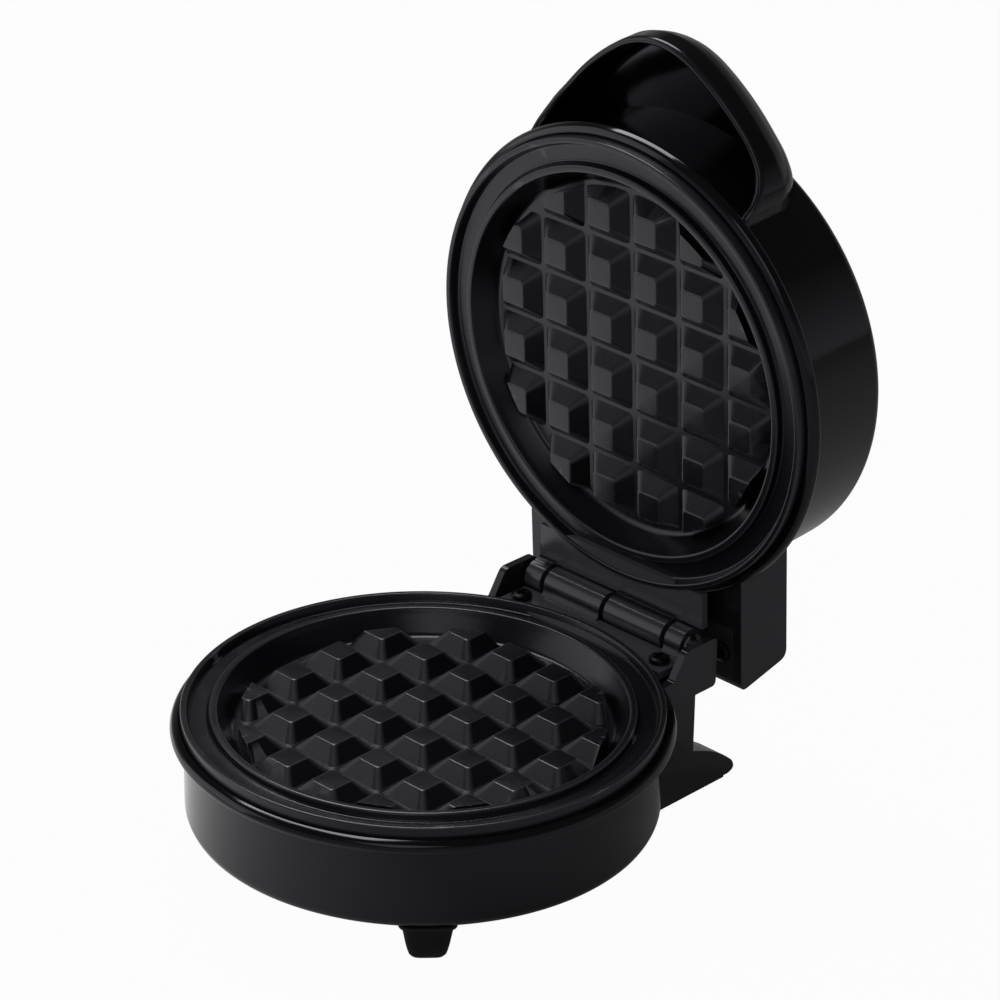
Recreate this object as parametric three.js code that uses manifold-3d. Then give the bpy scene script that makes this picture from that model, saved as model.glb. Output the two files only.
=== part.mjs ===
// Mini waffle maker with a hinged lid, drawn open as it rests on its stop.
// Millimetres, +Z up, +Y to the rear where the hinge is, the handle towards -Y.
// Every piece of the lid is drawn as it lies closed, and the lid group turns about the hinge pin.
import * as THREE from "three";
import { mergeVertices } from "three/addons/utils/BufferGeometryUtils.js";
import Module from "manifold-3d";

const wasm = await Module();
wasm.setup();

// Sizes of the whole appliance
const partingHeight = 42.4;
const wallRadius = 61.8;
const wall = 2.4;
const rimOverhang = 3.5;
const rimDrop = 4.2;
const rimBeadHeight = 3;
const rimBeadRound = 0.6;
const rimTopRound = 2.2;
const baseDepth = 26.4;
const lidDepth = 30.9;
const housingRound = 1.8;
const gap = 0.3;
const cutOver = 3;
const overlap = 0.6;
const openAngleDegrees = 86.5;
const roundSides = 40;
const smallSides = 12;
const screwSides = 8;

// Hinge
const hingeBehindRim = 6.75;
const hingeDrop = 0.57;
const pinRadius = 1.5;
const knuckleRadius = 4.3;
const knuckleSkirt = 4.2;
const knuckleGap = 1.6;
const knuckleSides = 16;
const knuckleShort = 5.6;
const knuckleShift = -1.2;
const deckHalfWidth = 29.4;
const deckMargin = 1;
const deckOffset = 2.3;
const deckThickness = 2.1;

// Cooking plates
const rimFace = 2.8;
const plateClearance = 0.4;
const plateSink = 0.8;
const plateThickness = 3;
const floorDepth = 8.2;

// Screws
const screwRadius = 1.5;
const screwHeadRadius = 2.8;
const screwHeadHeight = 1.8;
const screwBite = 4.2;
const bossRadius = 3.6;

// Levels that follow from them
const openAngle = THREE.MathUtils.degToRad(openAngleDegrees);
const rimRadius = wallRadius + rimOverhang;
const plateRadius = rimRadius - rimFace;
const hingeY = rimRadius + hingeBehindRim;
const hingeZ = partingHeight - hingeDrop;
const knuckleEnd = deckHalfWidth - deckMargin;
const knuckleLong = knuckleEnd - knuckleShort - knuckleGap * 1.5;
const baseRimZ = partingHeight - rimDrop;
const lidRimZ = partingHeight + rimDrop;
const baseFloorZ = baseRimZ - baseDepth;
const lidTopZ = lidRimZ + lidDepth;
const rimOpening = plateRadius + plateClearance;
const ledgeDrop = plateSink + gap;
const wallInner = wallRadius - wall;
const plateBack = floorDepth + plateThickness;
const holeRadius = screwRadius + gap;

// Finishes
const looks = {
  housing: { color: 0x141416, roughness: 0.28, metalness: 0 },
  plate: { color: 0x2b2b30, roughness: 0.42, metalness: 0.25 },
  rubber: { color: 0x0e0e0f, roughness: 0.85, metalness: 0 },
  steel: { color: 0xb9bcc0, roughness: 0.3, metalness: 1 },
  sheet: { color: 0xc7c9c6, roughness: 0.38, metalness: 1 },
  heater: { color: 0x6d6a66, roughness: 0.5, metalness: 0.9 },
  ceramic: { color: 0xe6e0d2, roughness: 0.7, metalness: 0 },
  sleeve: { color: 0xd9d5c8, roughness: 0.9, metalness: 0 },
  moulding: { color: 0x1a1a1c, roughness: 0.6, metalness: 0 },
  redLens: { color: 0xa81616, roughness: 0.2, metalness: 0 },
  greenLens: { color: 0x1d7f33, roughness: 0.2, metalness: 0 },
};

const base = new THREE.Group();
const lid = new THREE.Group();

// A closed solid from a three.js geometry, with its faces turned outwards
function solidOf(geometry) {
  const bare = geometry.clone();
  bare.deleteAttribute("normal");
  bare.deleteAttribute("uv");
  const merged = mergeVertices(bare);
  const corners = merged.index.array;
  const triangles = [];
  for (let i = 0; i < corners.length; i += 3) {
    const [a, b, c] = [corners[i], corners[i + 1], corners[i + 2]];
    if (a !== b && b !== c && c !== a) triangles.push([a, b, c]);
  }
  const build = (faces) =>
    new wasm.Manifold(
      new wasm.Mesh({
        numProp: 3,
        vertProperties: new Float32Array(merged.attributes.position.array),
        triVerts: new Uint32Array(faces.flat()),
      }),
    );
  const solid = build(triangles);
  return solid.volume() > 0 ? solid : build(triangles.map(([a, b, c]) => [a, c, b]));
}

function join(...solids) {
  return solids.flat().reduce((sum, next) => sum.add(next));
}

function cut(body, ...tools) {
  return tools.flat().reduce((rest, next) => rest.subtract(next), body);
}

function place(parent, name, look, solid) {
  const mesh = solid.getMesh();
  const geometry = new THREE.BufferGeometry();
  geometry.setAttribute("position", new THREE.BufferAttribute(new Float32Array(mesh.vertProperties), 3));
  geometry.setIndex(Array.from(mesh.triVerts));
  geometry.computeVertexNormals();
  const piece = new THREE.Mesh(geometry, new THREE.MeshStandardMaterial(looks[look]));
  piece.name = name;
  parent.add(piece);
}

function placeEach(parent, name, look, solids) {
  solids.forEach((solid, i) => place(parent, `${name}_${i + 1}`, look, solid));
}

function block(x0, x1, y0, y1, z0, z1) {
  const box = new THREE.BoxGeometry(Math.abs(x1 - x0), Math.abs(y1 - y0), Math.abs(z1 - z0));
  box.translate((x0 + x1) / 2, (y0 + y1) / 2, (z0 + z1) / 2);
  return solidOf(box);
}

// A turned body about a vertical axis, from a profile of [radius, height] points
function turned(profile, sides = roundSides, x = 0, y = 0) {
  const points = profile.map(([r, z]) => new THREE.Vector2(r, z));
  const lathe = new THREE.LatheGeometry(points, sides);
  lathe.rotateX(Math.PI / 2);
  lathe.translate(x, y, 0);
  return solidOf(lathe);
}

function upright(radius, x, y, z0, z1, sides = smallSides) {
  const rod = new THREE.CylinderGeometry(radius, radius, Math.abs(z1 - z0), sides);
  rod.rotateX(Math.PI / 2);
  rod.translate(x, y, (z0 + z1) / 2);
  return solidOf(rod);
}

function rodAlongX(radius, x0, x1, y, z, sides = smallSides) {
  const rod = new THREE.CylinderGeometry(radius, radius, Math.abs(x1 - x0), sides);
  rod.rotateZ(Math.PI / 2);
  rod.translate((x0 + x1) / 2, y, z);
  return solidOf(rod);
}

function rodAlongY(radius, x, y0, y1, z, sides = smallSides) {
  const rod = new THREE.CylinderGeometry(radius, radius, Math.abs(y1 - y0), sides);
  rod.translate(x, (y0 + y1) / 2, z);
  return solidOf(rod);
}

// A side view of [y, z] points carried along X
function sideView(points, x0, x1) {
  const shape = new THREE.Shape(points.map(([y, z]) => new THREE.Vector2(y, z)));
  const slab = new THREE.ExtrudeGeometry(shape, { depth: x1 - x0, bevelEnabled: false });
  const turn = new THREE.Matrix4().makeBasis(
    new THREE.Vector3(0, 1, 0),
    new THREE.Vector3(0, 0, 1),
    new THREE.Vector3(1, 0, 0),
  );
  slab.applyMatrix4(turn);
  slab.translate(x0, 0, 0);
  return solidOf(slab);
}

// Rings of [x, y, z] points, one after the other, skinned into one closed convex-ended body
function loft(rings) {
  const count = rings[0].length;
  const faces = [];
  for (let k = 0; k + 1 < rings.length; k += 1) {
    for (let i = 0; i < count; i += 1) {
      const next = (i + 1) % count;
      const [a, b] = [k * count + i, k * count + next];
      faces.push(a, b, b + count, a, b + count, a + count);
    }
  }
  const last = (rings.length - 1) * count;
  for (let i = 1; i + 1 < count; i += 1) {
    faces.push(0, i + 1, i);
    faces.push(last, last + i, last + i + 1);
  }
  const skin = new THREE.BufferGeometry();
  skin.setAttribute("position", new THREE.Float32BufferAttribute(rings.flat(2), 3));
  skin.setIndex(faces);
  return solidOf(skin);
}

// A round wire or tube along a smooth path of [x, y, z] points
function tube(points, radius, steps, sides = 6) {
  const path = new THREE.CatmullRomCurve3(points.map((p) => new THREE.Vector3(...p)), false, "centripetal");
  const ring = new THREE.Shape();
  ring.absarc(0, 0, radius, 0, Math.PI * 2, false);
  const options = { steps, curveSegments: sides, extrudePath: path, bevelEnabled: false };
  return solidOf(new THREE.ExtrudeGeometry(ring, options));
}

function polar(radius, degrees) {
  const angle = THREE.MathUtils.degToRad(degrees);
  return [radius * Math.cos(angle), radius * Math.sin(angle)];
}

// A pan-head screw with its head at headZ and its shank reaching towards +1 up or -1 down
function screw([x, y], headZ, reach, towards) {
  const head = upright(screwHeadRadius, x, y, headZ - towards * screwHeadHeight, headZ, screwSides);
  const shank = upright(screwRadius, x, y, headZ - towards * overlap, headZ + towards * reach, screwSides);
  return join(head, shank);
}

// The flat underside of the hinge block, above the rim bead of the lid
const blockSet = 3;
const blockUnderZ = lidRimZ + blockSet;

// Plate fixings that the housings and the plates share
const lugInset = 10.4;
const lugRadius = wallInner - lugInset;
const lugWidth = 9;
const lugThickness = 3;
const lugAngles = [-90, 20, 160];
const bossDrop = 3;

function lugPlaces() {
  return lugAngles.map((degrees) => polar(lugRadius, degrees));
}

// side is -1 for the base and the lower plate, and +1 for the lid and the upper plate
function level(side, depth) {
  return partingHeight + side * depth;
}

function housingProfile(side, depth) {
  const z = (below) => level(side, rimDrop + below);
  return [
    [0, z(depth)],
    [wallRadius - housingRound, z(depth)],
    [wallRadius - housingRound / 4, z(depth - housingRound / 4)],
    [wallRadius, z(depth - housingRound)],
    [wallRadius, z(rimBeadHeight)],
    [rimRadius - rimBeadRound / 2, z(rimBeadHeight)],
    [rimRadius, z(rimBeadHeight - rimBeadRound)],
    [rimRadius, z(rimTopRound)],
    [rimRadius - rimTopRound / 4, z(rimTopRound / 3)],
    [rimRadius - rimTopRound, z(0)],
    [rimOpening, z(0)],
    [rimOpening, z(ledgeDrop)],
    [wallInner, z(ledgeDrop)],
    [wallInner, z(depth - wall)],
    [0, z(depth - wall)],
  ];
}

// A lug on the inside of a housing wall, with the hole for a plate screw
function housingLug(side, degrees) {
  const near = level(side, plateBack + bossDrop + gap);
  const far = level(side, plateBack + bossDrop + gap + lugThickness);
  const inner = lugRadius - lugWidth / 2;
  const outer = wallInner + wall / 2;
  const bar = new THREE.BoxGeometry(outer - inner, lugWidth, lugThickness);
  bar.translate((inner + outer) / 2, 0, (near + far) / 2);
  bar.rotateZ(THREE.MathUtils.degToRad(degrees));
  const [x, y] = polar(lugRadius, degrees);
  return cut(solidOf(bar), upright(holeRadius, x, y, near - side * cutOver, far + side * cutOver));
}

// Base housing: tub with a rim bead, rear column, hinge bay between two cheeks, and two heels
const bayMargin = 4.7;
const cheekThickness = 2.2;
const cheekRise = 3.1;
const bayDepth = 14.4;
const bayBehindHinge = 2.9;
const columnBehindWall = 5.2;
const cheekBeforeWall = 3.55;
const cheekRun = 4.6;
const cheekRound = 1.2;
const bayHalfWidth = deckHalfWidth + bayMargin;
const cheekFrontY = wallRadius - cheekBeforeWall;
const cheekCornerY = cheekFrontY + cheekRun;
const cheekTopZ = partingHeight + cheekRise;
const bayRearY = hingeY + bayBehindHinge;
const bayFloorZ = cheekTopZ - bayDepth;
const columnRearY = wallRadius + columnBehindWall;
const cheekInner = bayHalfWidth - cheekThickness;
const deckNotch = 0.6;
const coverThickness = 2;
const coverMargin = 3.9;
const coverRadius = wallInner - coverMargin;
const coverLedge = 3.5;
const coverScrewAngles = [-90, 30, 150];
const heelWidth = 8.5;
const heelBeforeWall = 13.8;
const heelBehindBay = 9;
const heelFrontY = wallRadius - heelBeforeWall;
const heelReach = bayRearY + heelBehindBay - heelFrontY;
const heelRound = 1.6;
const heelPad = 1.2;
const heelTopShares = [
  [1, 0.06],
  [0.988, 0.12],
  [0.959, 0.24],
  [0.843, 0.52],
  [0.698, 0.81],
  [0.581, 0.98],
  [0.532, 1.05],
  [0.45, 1.2],
];
const glandZ = 23;
const glandRadius = 4.6;
const clampSpan = 18;
const clampBehindWall = 7.7;
const clampPostRadius = 3;
const glandBore = 3.2;
const clampSqueeze = 0.6;
const clampBarZ = glandZ + glandBore - clampSqueeze;
const leadRadius = 1.4;
const hingeLeadX = 20;
const hingeLeadZ = bayFloorZ + wall + gap + leadRadius;
const hingeLeadInset = 2.8;
const hingeLeadRiseY = columnRearY - wall - hingeLeadInset;
const deckScrewInset = 4.2;
const deckScrewBehind = 9.9;
const deckScrewX = deckHalfWidth - deckScrewInset;
const deckScrewY = hingeY - deckScrewBehind;
const deckPostRadius = 2.9;
const footAngle = 46.6;
const footInset = 7.9;
const footPegRadius = 1.8;
const footPegOffset = 3.8;
const footCentre = wallRadius - footInset;
const footPegAt = footCentre + footPegOffset;

function coverScrewPlaces() {
  return coverScrewAngles.map((degrees) => polar(coverRadius - coverLedge, degrees));
}

function clampPlaces() {
  return [-1, 1].map((side) => [side * clampSpan / 2, columnRearY - wall - clampBehindWall]);
}

function deckScrewPlaces() {
  return [-1, 1].map((side) => [side * deckScrewX, deckScrewY]);
}

function footDirections() {
  return [-1, 1].map((side) => polar(1, -90 + side * footAngle));
}

function heelOutline() {
  const low = heelPad + gap;
  const top = heelTopShares.map(([along, up]) => [heelFrontY + heelReach * along, low + baseFloorZ * up]);
  return [
    [heelFrontY, baseFloorZ],
    [heelFrontY + heelRound, low + heelRound],
    [heelFrontY + heelRound * 2, low],
    [heelFrontY + heelReach - heelRound, low],
    ...top,
    [heelFrontY + cutOver, baseFloorZ + cutOver],
  ];
}

function bayOutline(frontY) {
  return [
    [frontY, bayFloorZ],
    [bayRearY - cheekRound, bayFloorZ],
    [bayRearY, bayFloorZ + cheekRound],
    [bayRearY, cheekTopZ - cheekRound],
    [bayRearY - cheekRound, cheekTopZ],
    [cheekCornerY + cheekRound, cheekTopZ],
    [cheekCornerY, cheekTopZ - cheekRound / 2],
    [cheekFrontY, baseRimZ],
    [frontY, baseRimZ],
  ];
}

function baseHousing() {
  const innerY = wallInner * Math.cos(Math.asin(bayHalfWidth / wallInner));
  const deckUnder = hingeZ - deckOffset - deckThickness - deckNotch;
  const tub = turned(housingProfile(-1, baseDepth));
  const column = block(-bayHalfWidth, bayHalfWidth, innerY, columnRearY, baseFloorZ, bayFloorZ + wall);
  const bay = sideView(bayOutline(innerY), -bayHalfWidth, bayHalfWidth);
  const heels = [-1, 1].map((side) => {
    const middle = side * (bayHalfWidth - heelWidth / 2);
    return sideView(heelOutline(), middle - heelWidth / 2, middle + heelWidth / 2);
  });
  const tubSpace = upright(wallInner, 0, 0, baseFloorZ + wall, cheekTopZ + cutOver, roundSides);
  const over = cheekTopZ + cutOver;
  const rimSpace = upright(rimOpening, 0, 0, level(-1, rimDrop + ledgeDrop), over, roundSides);
  const columnInner = bayHalfWidth - wall;
  const columnSpace = block(-columnInner, columnInner, 0, columnRearY - wall, baseFloorZ + wall, bayFloorZ);
  const bayBox = block(-cheekInner, cheekInner, innerY, bayRearY - wall, bayFloorZ + wall, over);
  const partition = upright(wallRadius, 0, 0, bayFloorZ, deckUnder, roundSides);
  const rearLip = block(
    -cheekInner, cheekInner,
    bayRearY - wall - cutOver, bayRearY + cutOver,
    hingeZ - knuckleRadius - gap, cheekTopZ + cutOver,
  );
  const notchHalf = deckHalfWidth + deckNotch;
  const deckSpace = block(-notchHalf, notchHalf, innerY, bayRearY - wall, deckUnder, cheekTopZ + cutOver);
  const coverZ = baseFloorZ + coverThickness + gap;
  const coverSpace = upright(coverRadius + gap, 0, 0, baseFloorZ - cutOver, coverZ, roundSides);
  const ringInner = coverRadius - coverLedge * 2;
  const mouth = upright(ringInner, 0, 0, baseFloorZ, coverZ + wall, roundSides);
  const ring = cut(upright(wallInner + overlap, 0, 0, coverZ, coverZ + wall, roundSides), mouth);
  const lugs = lugAngles.map((degrees) => housingLug(-1, degrees));
  const posts = clampPlaces().map(([x, y]) => upright(clampPostRadius, x, y, coverZ, clampBarZ - gap));
  const deckPosts = deckScrewPlaces().map(([x, y]) =>
    upright(deckPostRadius, x, y, bayFloorZ + overlap, deckUnder + deckNotch - gap),
  );
  const shell = cut(
    join(tub, column, bay, heels),
    tubSpace, rimSpace, columnSpace, cut(bayBox, partition), rearLip, deckSpace, coverSpace, mouth,
  );
  const holes = [
    rodAlongY(glandRadius + gap, 0, columnRearY - wall - cutOver, columnRearY + cutOver, glandZ),
    rodAlongY(leadRadius + gap, hingeLeadX, bayRearY - wall - cutOver, bayRearY + cutOver, hingeLeadZ),
    upright(leadRadius + gap, hingeLeadX, hingeLeadRiseY, bayFloorZ - cutOver, bayFloorZ + wall + cutOver),
    block(
      hingeLeadX - leadRadius - gap, hingeLeadX + leadRadius + gap,
      hingeLeadRiseY, hingeLeadRiseY + leadRadius * 3,
      bayFloorZ + wall / 4, bayFloorZ + wall + cutOver,
    ),
    ...clampPlaces().map(([x, y]) => upright(holeRadius, x, y, coverZ + wall, clampBarZ)),
    ...deckScrewPlaces().map(([x, y]) => upright(holeRadius, x, y, bayFloorZ + wall / 2, hingeZ)),
    ...coverScrewPlaces().map(([x, y]) => upright(holeRadius, x, y, baseFloorZ, coverZ + wall + cutOver)),
    ...footDirections().map(([x, y]) =>
      upright(footPegRadius + gap, x * footPegAt, y * footPegAt, baseFloorZ - cutOver, coverZ + wall / 2),
    ),
  ];
  return cut(join(shell, ring, lugs, posts, deckPosts), holes);
}

place(base, "base_housing", "housing", baseHousing());

// Bottom cover: a flat disc let into the underside of the base
function bottomCover() {
  const disc = upright(coverRadius, 0, 0, baseFloorZ, baseFloorZ + coverThickness, roundSides);
  const holes = coverScrewPlaces().map(([x, y]) =>
    join(
      upright(holeRadius, x, y, baseFloorZ - cutOver, baseFloorZ + coverThickness + cutOver),
      upright(screwHeadRadius + gap, x, y, baseFloorZ - cutOver, baseFloorZ + coverThickness / 2),
    ),
  );
  return cut(disc, holes);
}

place(base, "bottom_cover", "moulding", bottomCover());

const coverHeadZ = baseFloorZ + coverThickness / 2 - gap;
const coverScrews = coverScrewPlaces().map((at) => screw(at, coverHeadZ, screwBite, 1));
placeEach(base, "cover_screw", "steel", coverScrews);

// Front feet: tapered rubber blocks, each pushed into the housing by a peg
const footTopWidth = 13.2;
const footTopDepth = 12.4;
const footTaper = 1.5;
const footRound = 2.2;
const footFlange = 0.9;

function footRing(width, depth, z, degrees) {
  const corner = footRound;
  const ring = [];
  const [halfWidth, halfDepth] = [width / 2 - corner, depth / 2 - corner];
  const quarters = [[1, 1, 0], [-1, 1, 90], [-1, -1, 180], [1, -1, 270]];
  for (const [sx, sy, start] of quarters) {
    for (const step of [0, 30, 60, 90]) {
      const [dx, dy] = polar(corner, start + step);
      ring.push([footCentre + sx * halfDepth + dx, sy * halfWidth + dy]);
    }
  }
  const angle = THREE.MathUtils.degToRad(degrees);
  return ring.map(([x, y]) => [
    x * Math.cos(angle) - y * Math.sin(angle),
    x * Math.sin(angle) + y * Math.cos(angle),
    z,
  ]);
}

function frontFoot(side) {
  const degrees = -90 + side * footAngle;
  const top = baseFloorZ - gap;
  const inset = (z) => 2 * footTaper * (1 - z / top);
  const less = (z, extra) => inset(z) + extra;
  const at = (z, extra) => footRing(footTopWidth - less(z, extra), footTopDepth - less(z, extra), z, degrees);
  const body = loft([
    at(0, footRound * 1.3),
    at(footRound * 0.15, footRound * 0.75),
    at(footRound * 0.5, footRound * 0.3),
    at(footRound, 0),
    at(top - footFlange * 1.2, 0),
    at(top - footFlange, -footFlange),
    at(top, -footFlange),
  ]);
  const [x, y] = polar(footPegAt, degrees);
  return join(body, upright(footPegRadius, x, y, top - overlap, baseFloorZ + coverThickness));
}

place(base, "front_foot_left", "rubber", frontFoot(-1));
place(base, "front_foot_right", "rubber", frontFoot(1));

// Heel pads: thin rubber under each rear heel
const padInset = 1.2;
for (const [side, name] of [[-1, "heel_pad_left"], [1, "heel_pad_right"]]) {
  const middle = side * (bayHalfWidth - heelWidth / 2);
  const half = heelWidth / 2 - padInset;
  const rearY = heelFrontY + heelReach - heelRound;
  const frontY = heelFrontY + heelRound * 2;
  const pad = block(middle - half, middle + half, frontY + padInset, rearY - padInset, 0, heelPad);
  place(base, name, "rubber", pad);
}

// Cord gland: flanged bush in the column's rear wall, with the bore left free for the cord
const glandFlange = 1.8;
const glandLip = 1.5;

function cordGland() {
  const inside = columnRearY - wall - gap - glandLip;
  const outside = columnRearY + gap + glandLip;
  const bush = join(
    rodAlongY(glandRadius, 0, inside, outside, glandZ, smallSides),
    rodAlongY(glandRadius + glandFlange, 0, columnRearY + gap, outside, glandZ, smallSides),
    rodAlongY(glandRadius + glandFlange, 0, inside, columnRearY - wall - gap, glandZ, smallSides),
  );
  return cut(bush, rodAlongY(glandBore, 0, inside - cutOver, outside + cutOver, glandZ, smallSides));
}

place(base, "cord_gland", "rubber", cordGland());

// Cord clamp: a bar across two posts in the column, under which the cord is held
const clampBarHeight = 2.2;
const clampBarWidth = 7;

function cordClamp() {
  const [[x0, y], [x1]] = clampPlaces();
  const half = clampBarWidth / 2;
  const bar = block(x0 - half, x1 + half, y - half, y + half, clampBarZ, clampBarZ + clampBarHeight);
  const [low, high] = [clampBarZ - cutOver, clampBarZ + clampBarHeight + cutOver];
  const holes = clampPlaces().map(([x, z]) => upright(holeRadius, x, z, low, high));
  return cut(bar, holes);
}

place(base, "cord_clamp", "moulding", cordClamp());

const clampHeadZ = clampBarZ + clampBarHeight + gap;
placeEach(base, "clamp_screw", "steel", clampPlaces().map((at) => screw(at, clampHeadZ, screwBite, -1)));

// Cooking plates: die-cast and coated, with a crest, a gutter, a lip, a grid and hinge knuckles
const crestHalfGap = 1.3;
const crestWidth = 1.5;
const crestRound = 0.35;
const crestSlope = 0.8;
const gutterWidth = 4.6;
const gutterDepth = 3.7;
const lipSlope = 0.6;
const lipWidth = 1.8;
const lipHalfGap = 1.6;
const lipRound = 0.5;
const floorInset = 3.9;
const floorRound = 0.8;
const backOutset = 2.2;
const flangeWidth = plateRadius - wallInner + gap;
const flangeStep = 1.2;
const gutterOuter = plateRadius - crestWidth - crestSlope;
const gutterInner = gutterOuter - gutterWidth;
const lipOuter = gutterInner - lipSlope;
const floorRadius = lipOuter - lipWidth - floorInset;
const gridPitch = 16;
const gridInset = 1.6;
const gridCells = 6;
const gridGroove = 1.5;
const toothTop = 8;
const toothHeight = 3.8;
const toothRoot = 0.4;
const shieldPostRadius = 2.8;
const shieldPostAt = 28;
const sheetThickness = 0.7;
const strapPostAt = 13;
const thermostatHeight = 4.6;
const strapDepth = plateBack + thermostatHeight + gap * 2;
const heaterTube = 3.1;
const heaterClearance = 0.7;
const shieldClearance = 0.9;
const heaterDepth = plateBack + heaterClearance + heaterTube;
const shieldDepth = heaterDepth + heaterTube + shieldClearance;

function shieldScrewPlaces() {
  return [[-shieldPostAt, 0], [shieldPostAt, 0]];
}

function strapScrewPlaces() {
  return [[0, -strapPostAt], [0, strapPostAt]];
}

function plateProfile(side) {
  const flangeDepth = rimDrop + plateSink;
  const points = [
    [0, plateBack],
    [floorRadius + backOutset, plateBack],
    [plateRadius - flangeWidth - flangeStep, flangeDepth + flangeStep],
    [plateRadius - flangeWidth, flangeDepth],
    [plateRadius, flangeDepth],
    [plateRadius, crestHalfGap + crestRound],
    [plateRadius - crestRound, crestHalfGap],
    [plateRadius - crestWidth + crestRound, crestHalfGap],
    [plateRadius - crestWidth, crestHalfGap + crestRound],
    [gutterOuter, gutterDepth],
    [gutterInner, gutterDepth],
    [lipOuter, lipHalfGap + lipRound],
    [lipOuter - lipRound, lipHalfGap],
    [lipOuter - lipWidth + lipRound, lipHalfGap],
    [lipOuter - lipWidth, lipHalfGap + lipRound],
    [floorRadius, floorDepth - floorRound],
    [floorRadius - floorRound, floorDepth],
    [0, floorDepth],
  ];
  return points.map(([r, depth]) => [r, level(side, depth)]);
}

// The grid: square frustums on a square lattice, clipped by the round edge of the grid
function teeth(side) {
  const baseHalf = (gridPitch - gridGroove) / 2;
  const topHalf = toothTop / 2;
  const flare = (baseHalf - topHalf) / toothHeight;
  const height = toothHeight + toothRoot;
  const row = Array.from({ length: gridCells }, (_, i) => (i - (gridCells - 1) / 2) * gridPitch);
  const reach = Math.max(...row);
  const solids = [];
  for (const x of row) {
    for (const y of row) {
      if (Math.abs(x) === reach && Math.abs(y) === reach) continue;
      const tooth = new THREE.CylinderGeometry(
        topHalf * Math.SQRT2,
        (baseHalf + flare * toothRoot) * Math.SQRT2,
        height, 4, 1, false, Math.PI / 4,
      );
      tooth.rotateX(side < 0 ? Math.PI / 2 : -Math.PI / 2);
      tooth.translate(x, y, level(side, floorDepth + toothRoot - height / 2));
      solids.push(solidOf(tooth));
    }
  }
  const clip = upright(floorRadius - gridInset, 0, 0, level(side, plateBack), level(side, 0), roundSides);
  return join(solids).intersect(clip);
}

// The long knuckle of the lower plate lies at -X and its short one at +X, and the other way round above
function knuckles(side) {
  const longStart = knuckleGap / 2;
  const shortStart = longStart + knuckleLong + knuckleGap;
  const spans = [
    [knuckleShift + side * longStart, knuckleShift + side * (longStart + knuckleLong)],
    [knuckleShift - side * shortStart, knuckleShift - side * (shortStart + knuckleShort)],
  ];
  const face = hingeZ + side * deckOffset;
  const back = hingeZ + side * (deckOffset + deckThickness);
  const front = hingeY - knuckleSkirt;
  return spans.map(([x0, x1]) =>
    join(
      rodAlongX(knuckleRadius, x0, x1, hingeY, hingeZ, knuckleSides),
      block(x0, x1, front, hingeY, back, hingeZ),
      block(x0, x1, front - knuckleSkirt / 2, hingeY, back, face),
    ),
  );
}

function hingeDeck(side) {
  const face = hingeZ + side * deckOffset;
  const back = hingeZ + side * (deckOffset + deckThickness);
  const slab = block(-deckHalfWidth, deckHalfWidth, floorRadius / 2, hingeY - knuckleSkirt, back, face);
  return cut(slab, upright(plateRadius - wall / 2, 0, 0, back - cutOver, back + cutOver * 3, roundSides));
}

function cookingPlate(side) {
  const back = level(side, plateBack);
  const inside = level(side, plateBack - plateThickness / 2);
  const bossEnd = level(side, plateBack + bossDrop);
  const lugBosses = lugPlaces().map(([x, y]) => upright(bossRadius, x, y, inside, bossEnd));
  const shieldPosts = shieldScrewPlaces().map(([x, y]) =>
    upright(shieldPostRadius, x, y, inside, level(side, shieldDepth - gap)),
  );
  const casting = join(turned(plateProfile(side)), teeth(side), hingeDeck(side), knuckles(side));
  const body = join(casting, lugBosses, shieldPosts);
  const far = level(side, shieldDepth + cutOver);
  const screwPlaces = [...lugPlaces(), ...shieldScrewPlaces()];
  const holes = screwPlaces.map(([x, y]) => upright(holeRadius, x, y, inside, far));
  const reach = deckHalfWidth + cutOver;
  const pinHole = rodAlongX(pinRadius + gap, -reach, reach, hingeY, hingeZ);
  if (side > 0) return cut(body, holes, pinHole);
  const strapPosts = strapScrewPlaces().map(([x, y]) =>
    upright(shieldPostRadius, x, y, inside, level(side, strapDepth - gap)),
  );
  const strapHoles = strapScrewPlaces().map(([x, y]) => upright(holeRadius, x, y, back + wall / 2, far));
  const deckHoles = deckScrewPlaces().map(([x, y]) => upright(holeRadius, x, y, back, hingeZ));
  return cut(join(body, strapPosts), holes, pinHole, strapHoles, deckHoles);
}

place(base, "lower_plate", "plate", cookingPlate(-1));
place(lid, "upper_plate", "plate", cookingPlate(1));

// Screws that hold each plate: three from the back through the lugs, and two through the lower deck
for (const [parent, side, name] of [[base, -1, "lower_plate_screw"], [lid, 1, "upper_plate_screw"]]) {
  const headZ = level(side, plateBack + bossDrop + lugThickness + gap * 2);
  const reach = lugThickness + screwBite;
  placeEach(parent, name, "steel", lugPlaces().map((at) => screw(at, headZ, reach, -side)));
}

const deckHeadZ = hingeZ - deckOffset + gap;
const deckScrewLength = deckThickness + deckNotch + gap * 2;
const deckScrews = deckScrewPlaces().map((at) => screw(at, deckHeadZ, deckScrewLength, -1));
placeEach(base, "deck_screw", "steel", deckScrews);

// Hinge pin with a flat head, and the spring clip on its other end
const pinHeadRadius = 2.6;
const pinHeadThickness = 1;
const clipRadius = 3.2;
const clipThickness = 0.8;
const clipMouth = 2;
const pinTail = 1.1;

function hingePin() {
  const headX = knuckleShift - knuckleEnd - gap;
  const tailX = knuckleShift + knuckleEnd + gap * 2 + clipThickness + pinTail / 2;
  const head = rodAlongX(pinHeadRadius, headX - pinHeadThickness, headX, hingeY, hingeZ);
  const shank = rodAlongX(pinRadius, headX - pinHeadThickness / 2, tailX, hingeY, hingeZ);
  return join(head, shank);
}

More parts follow.
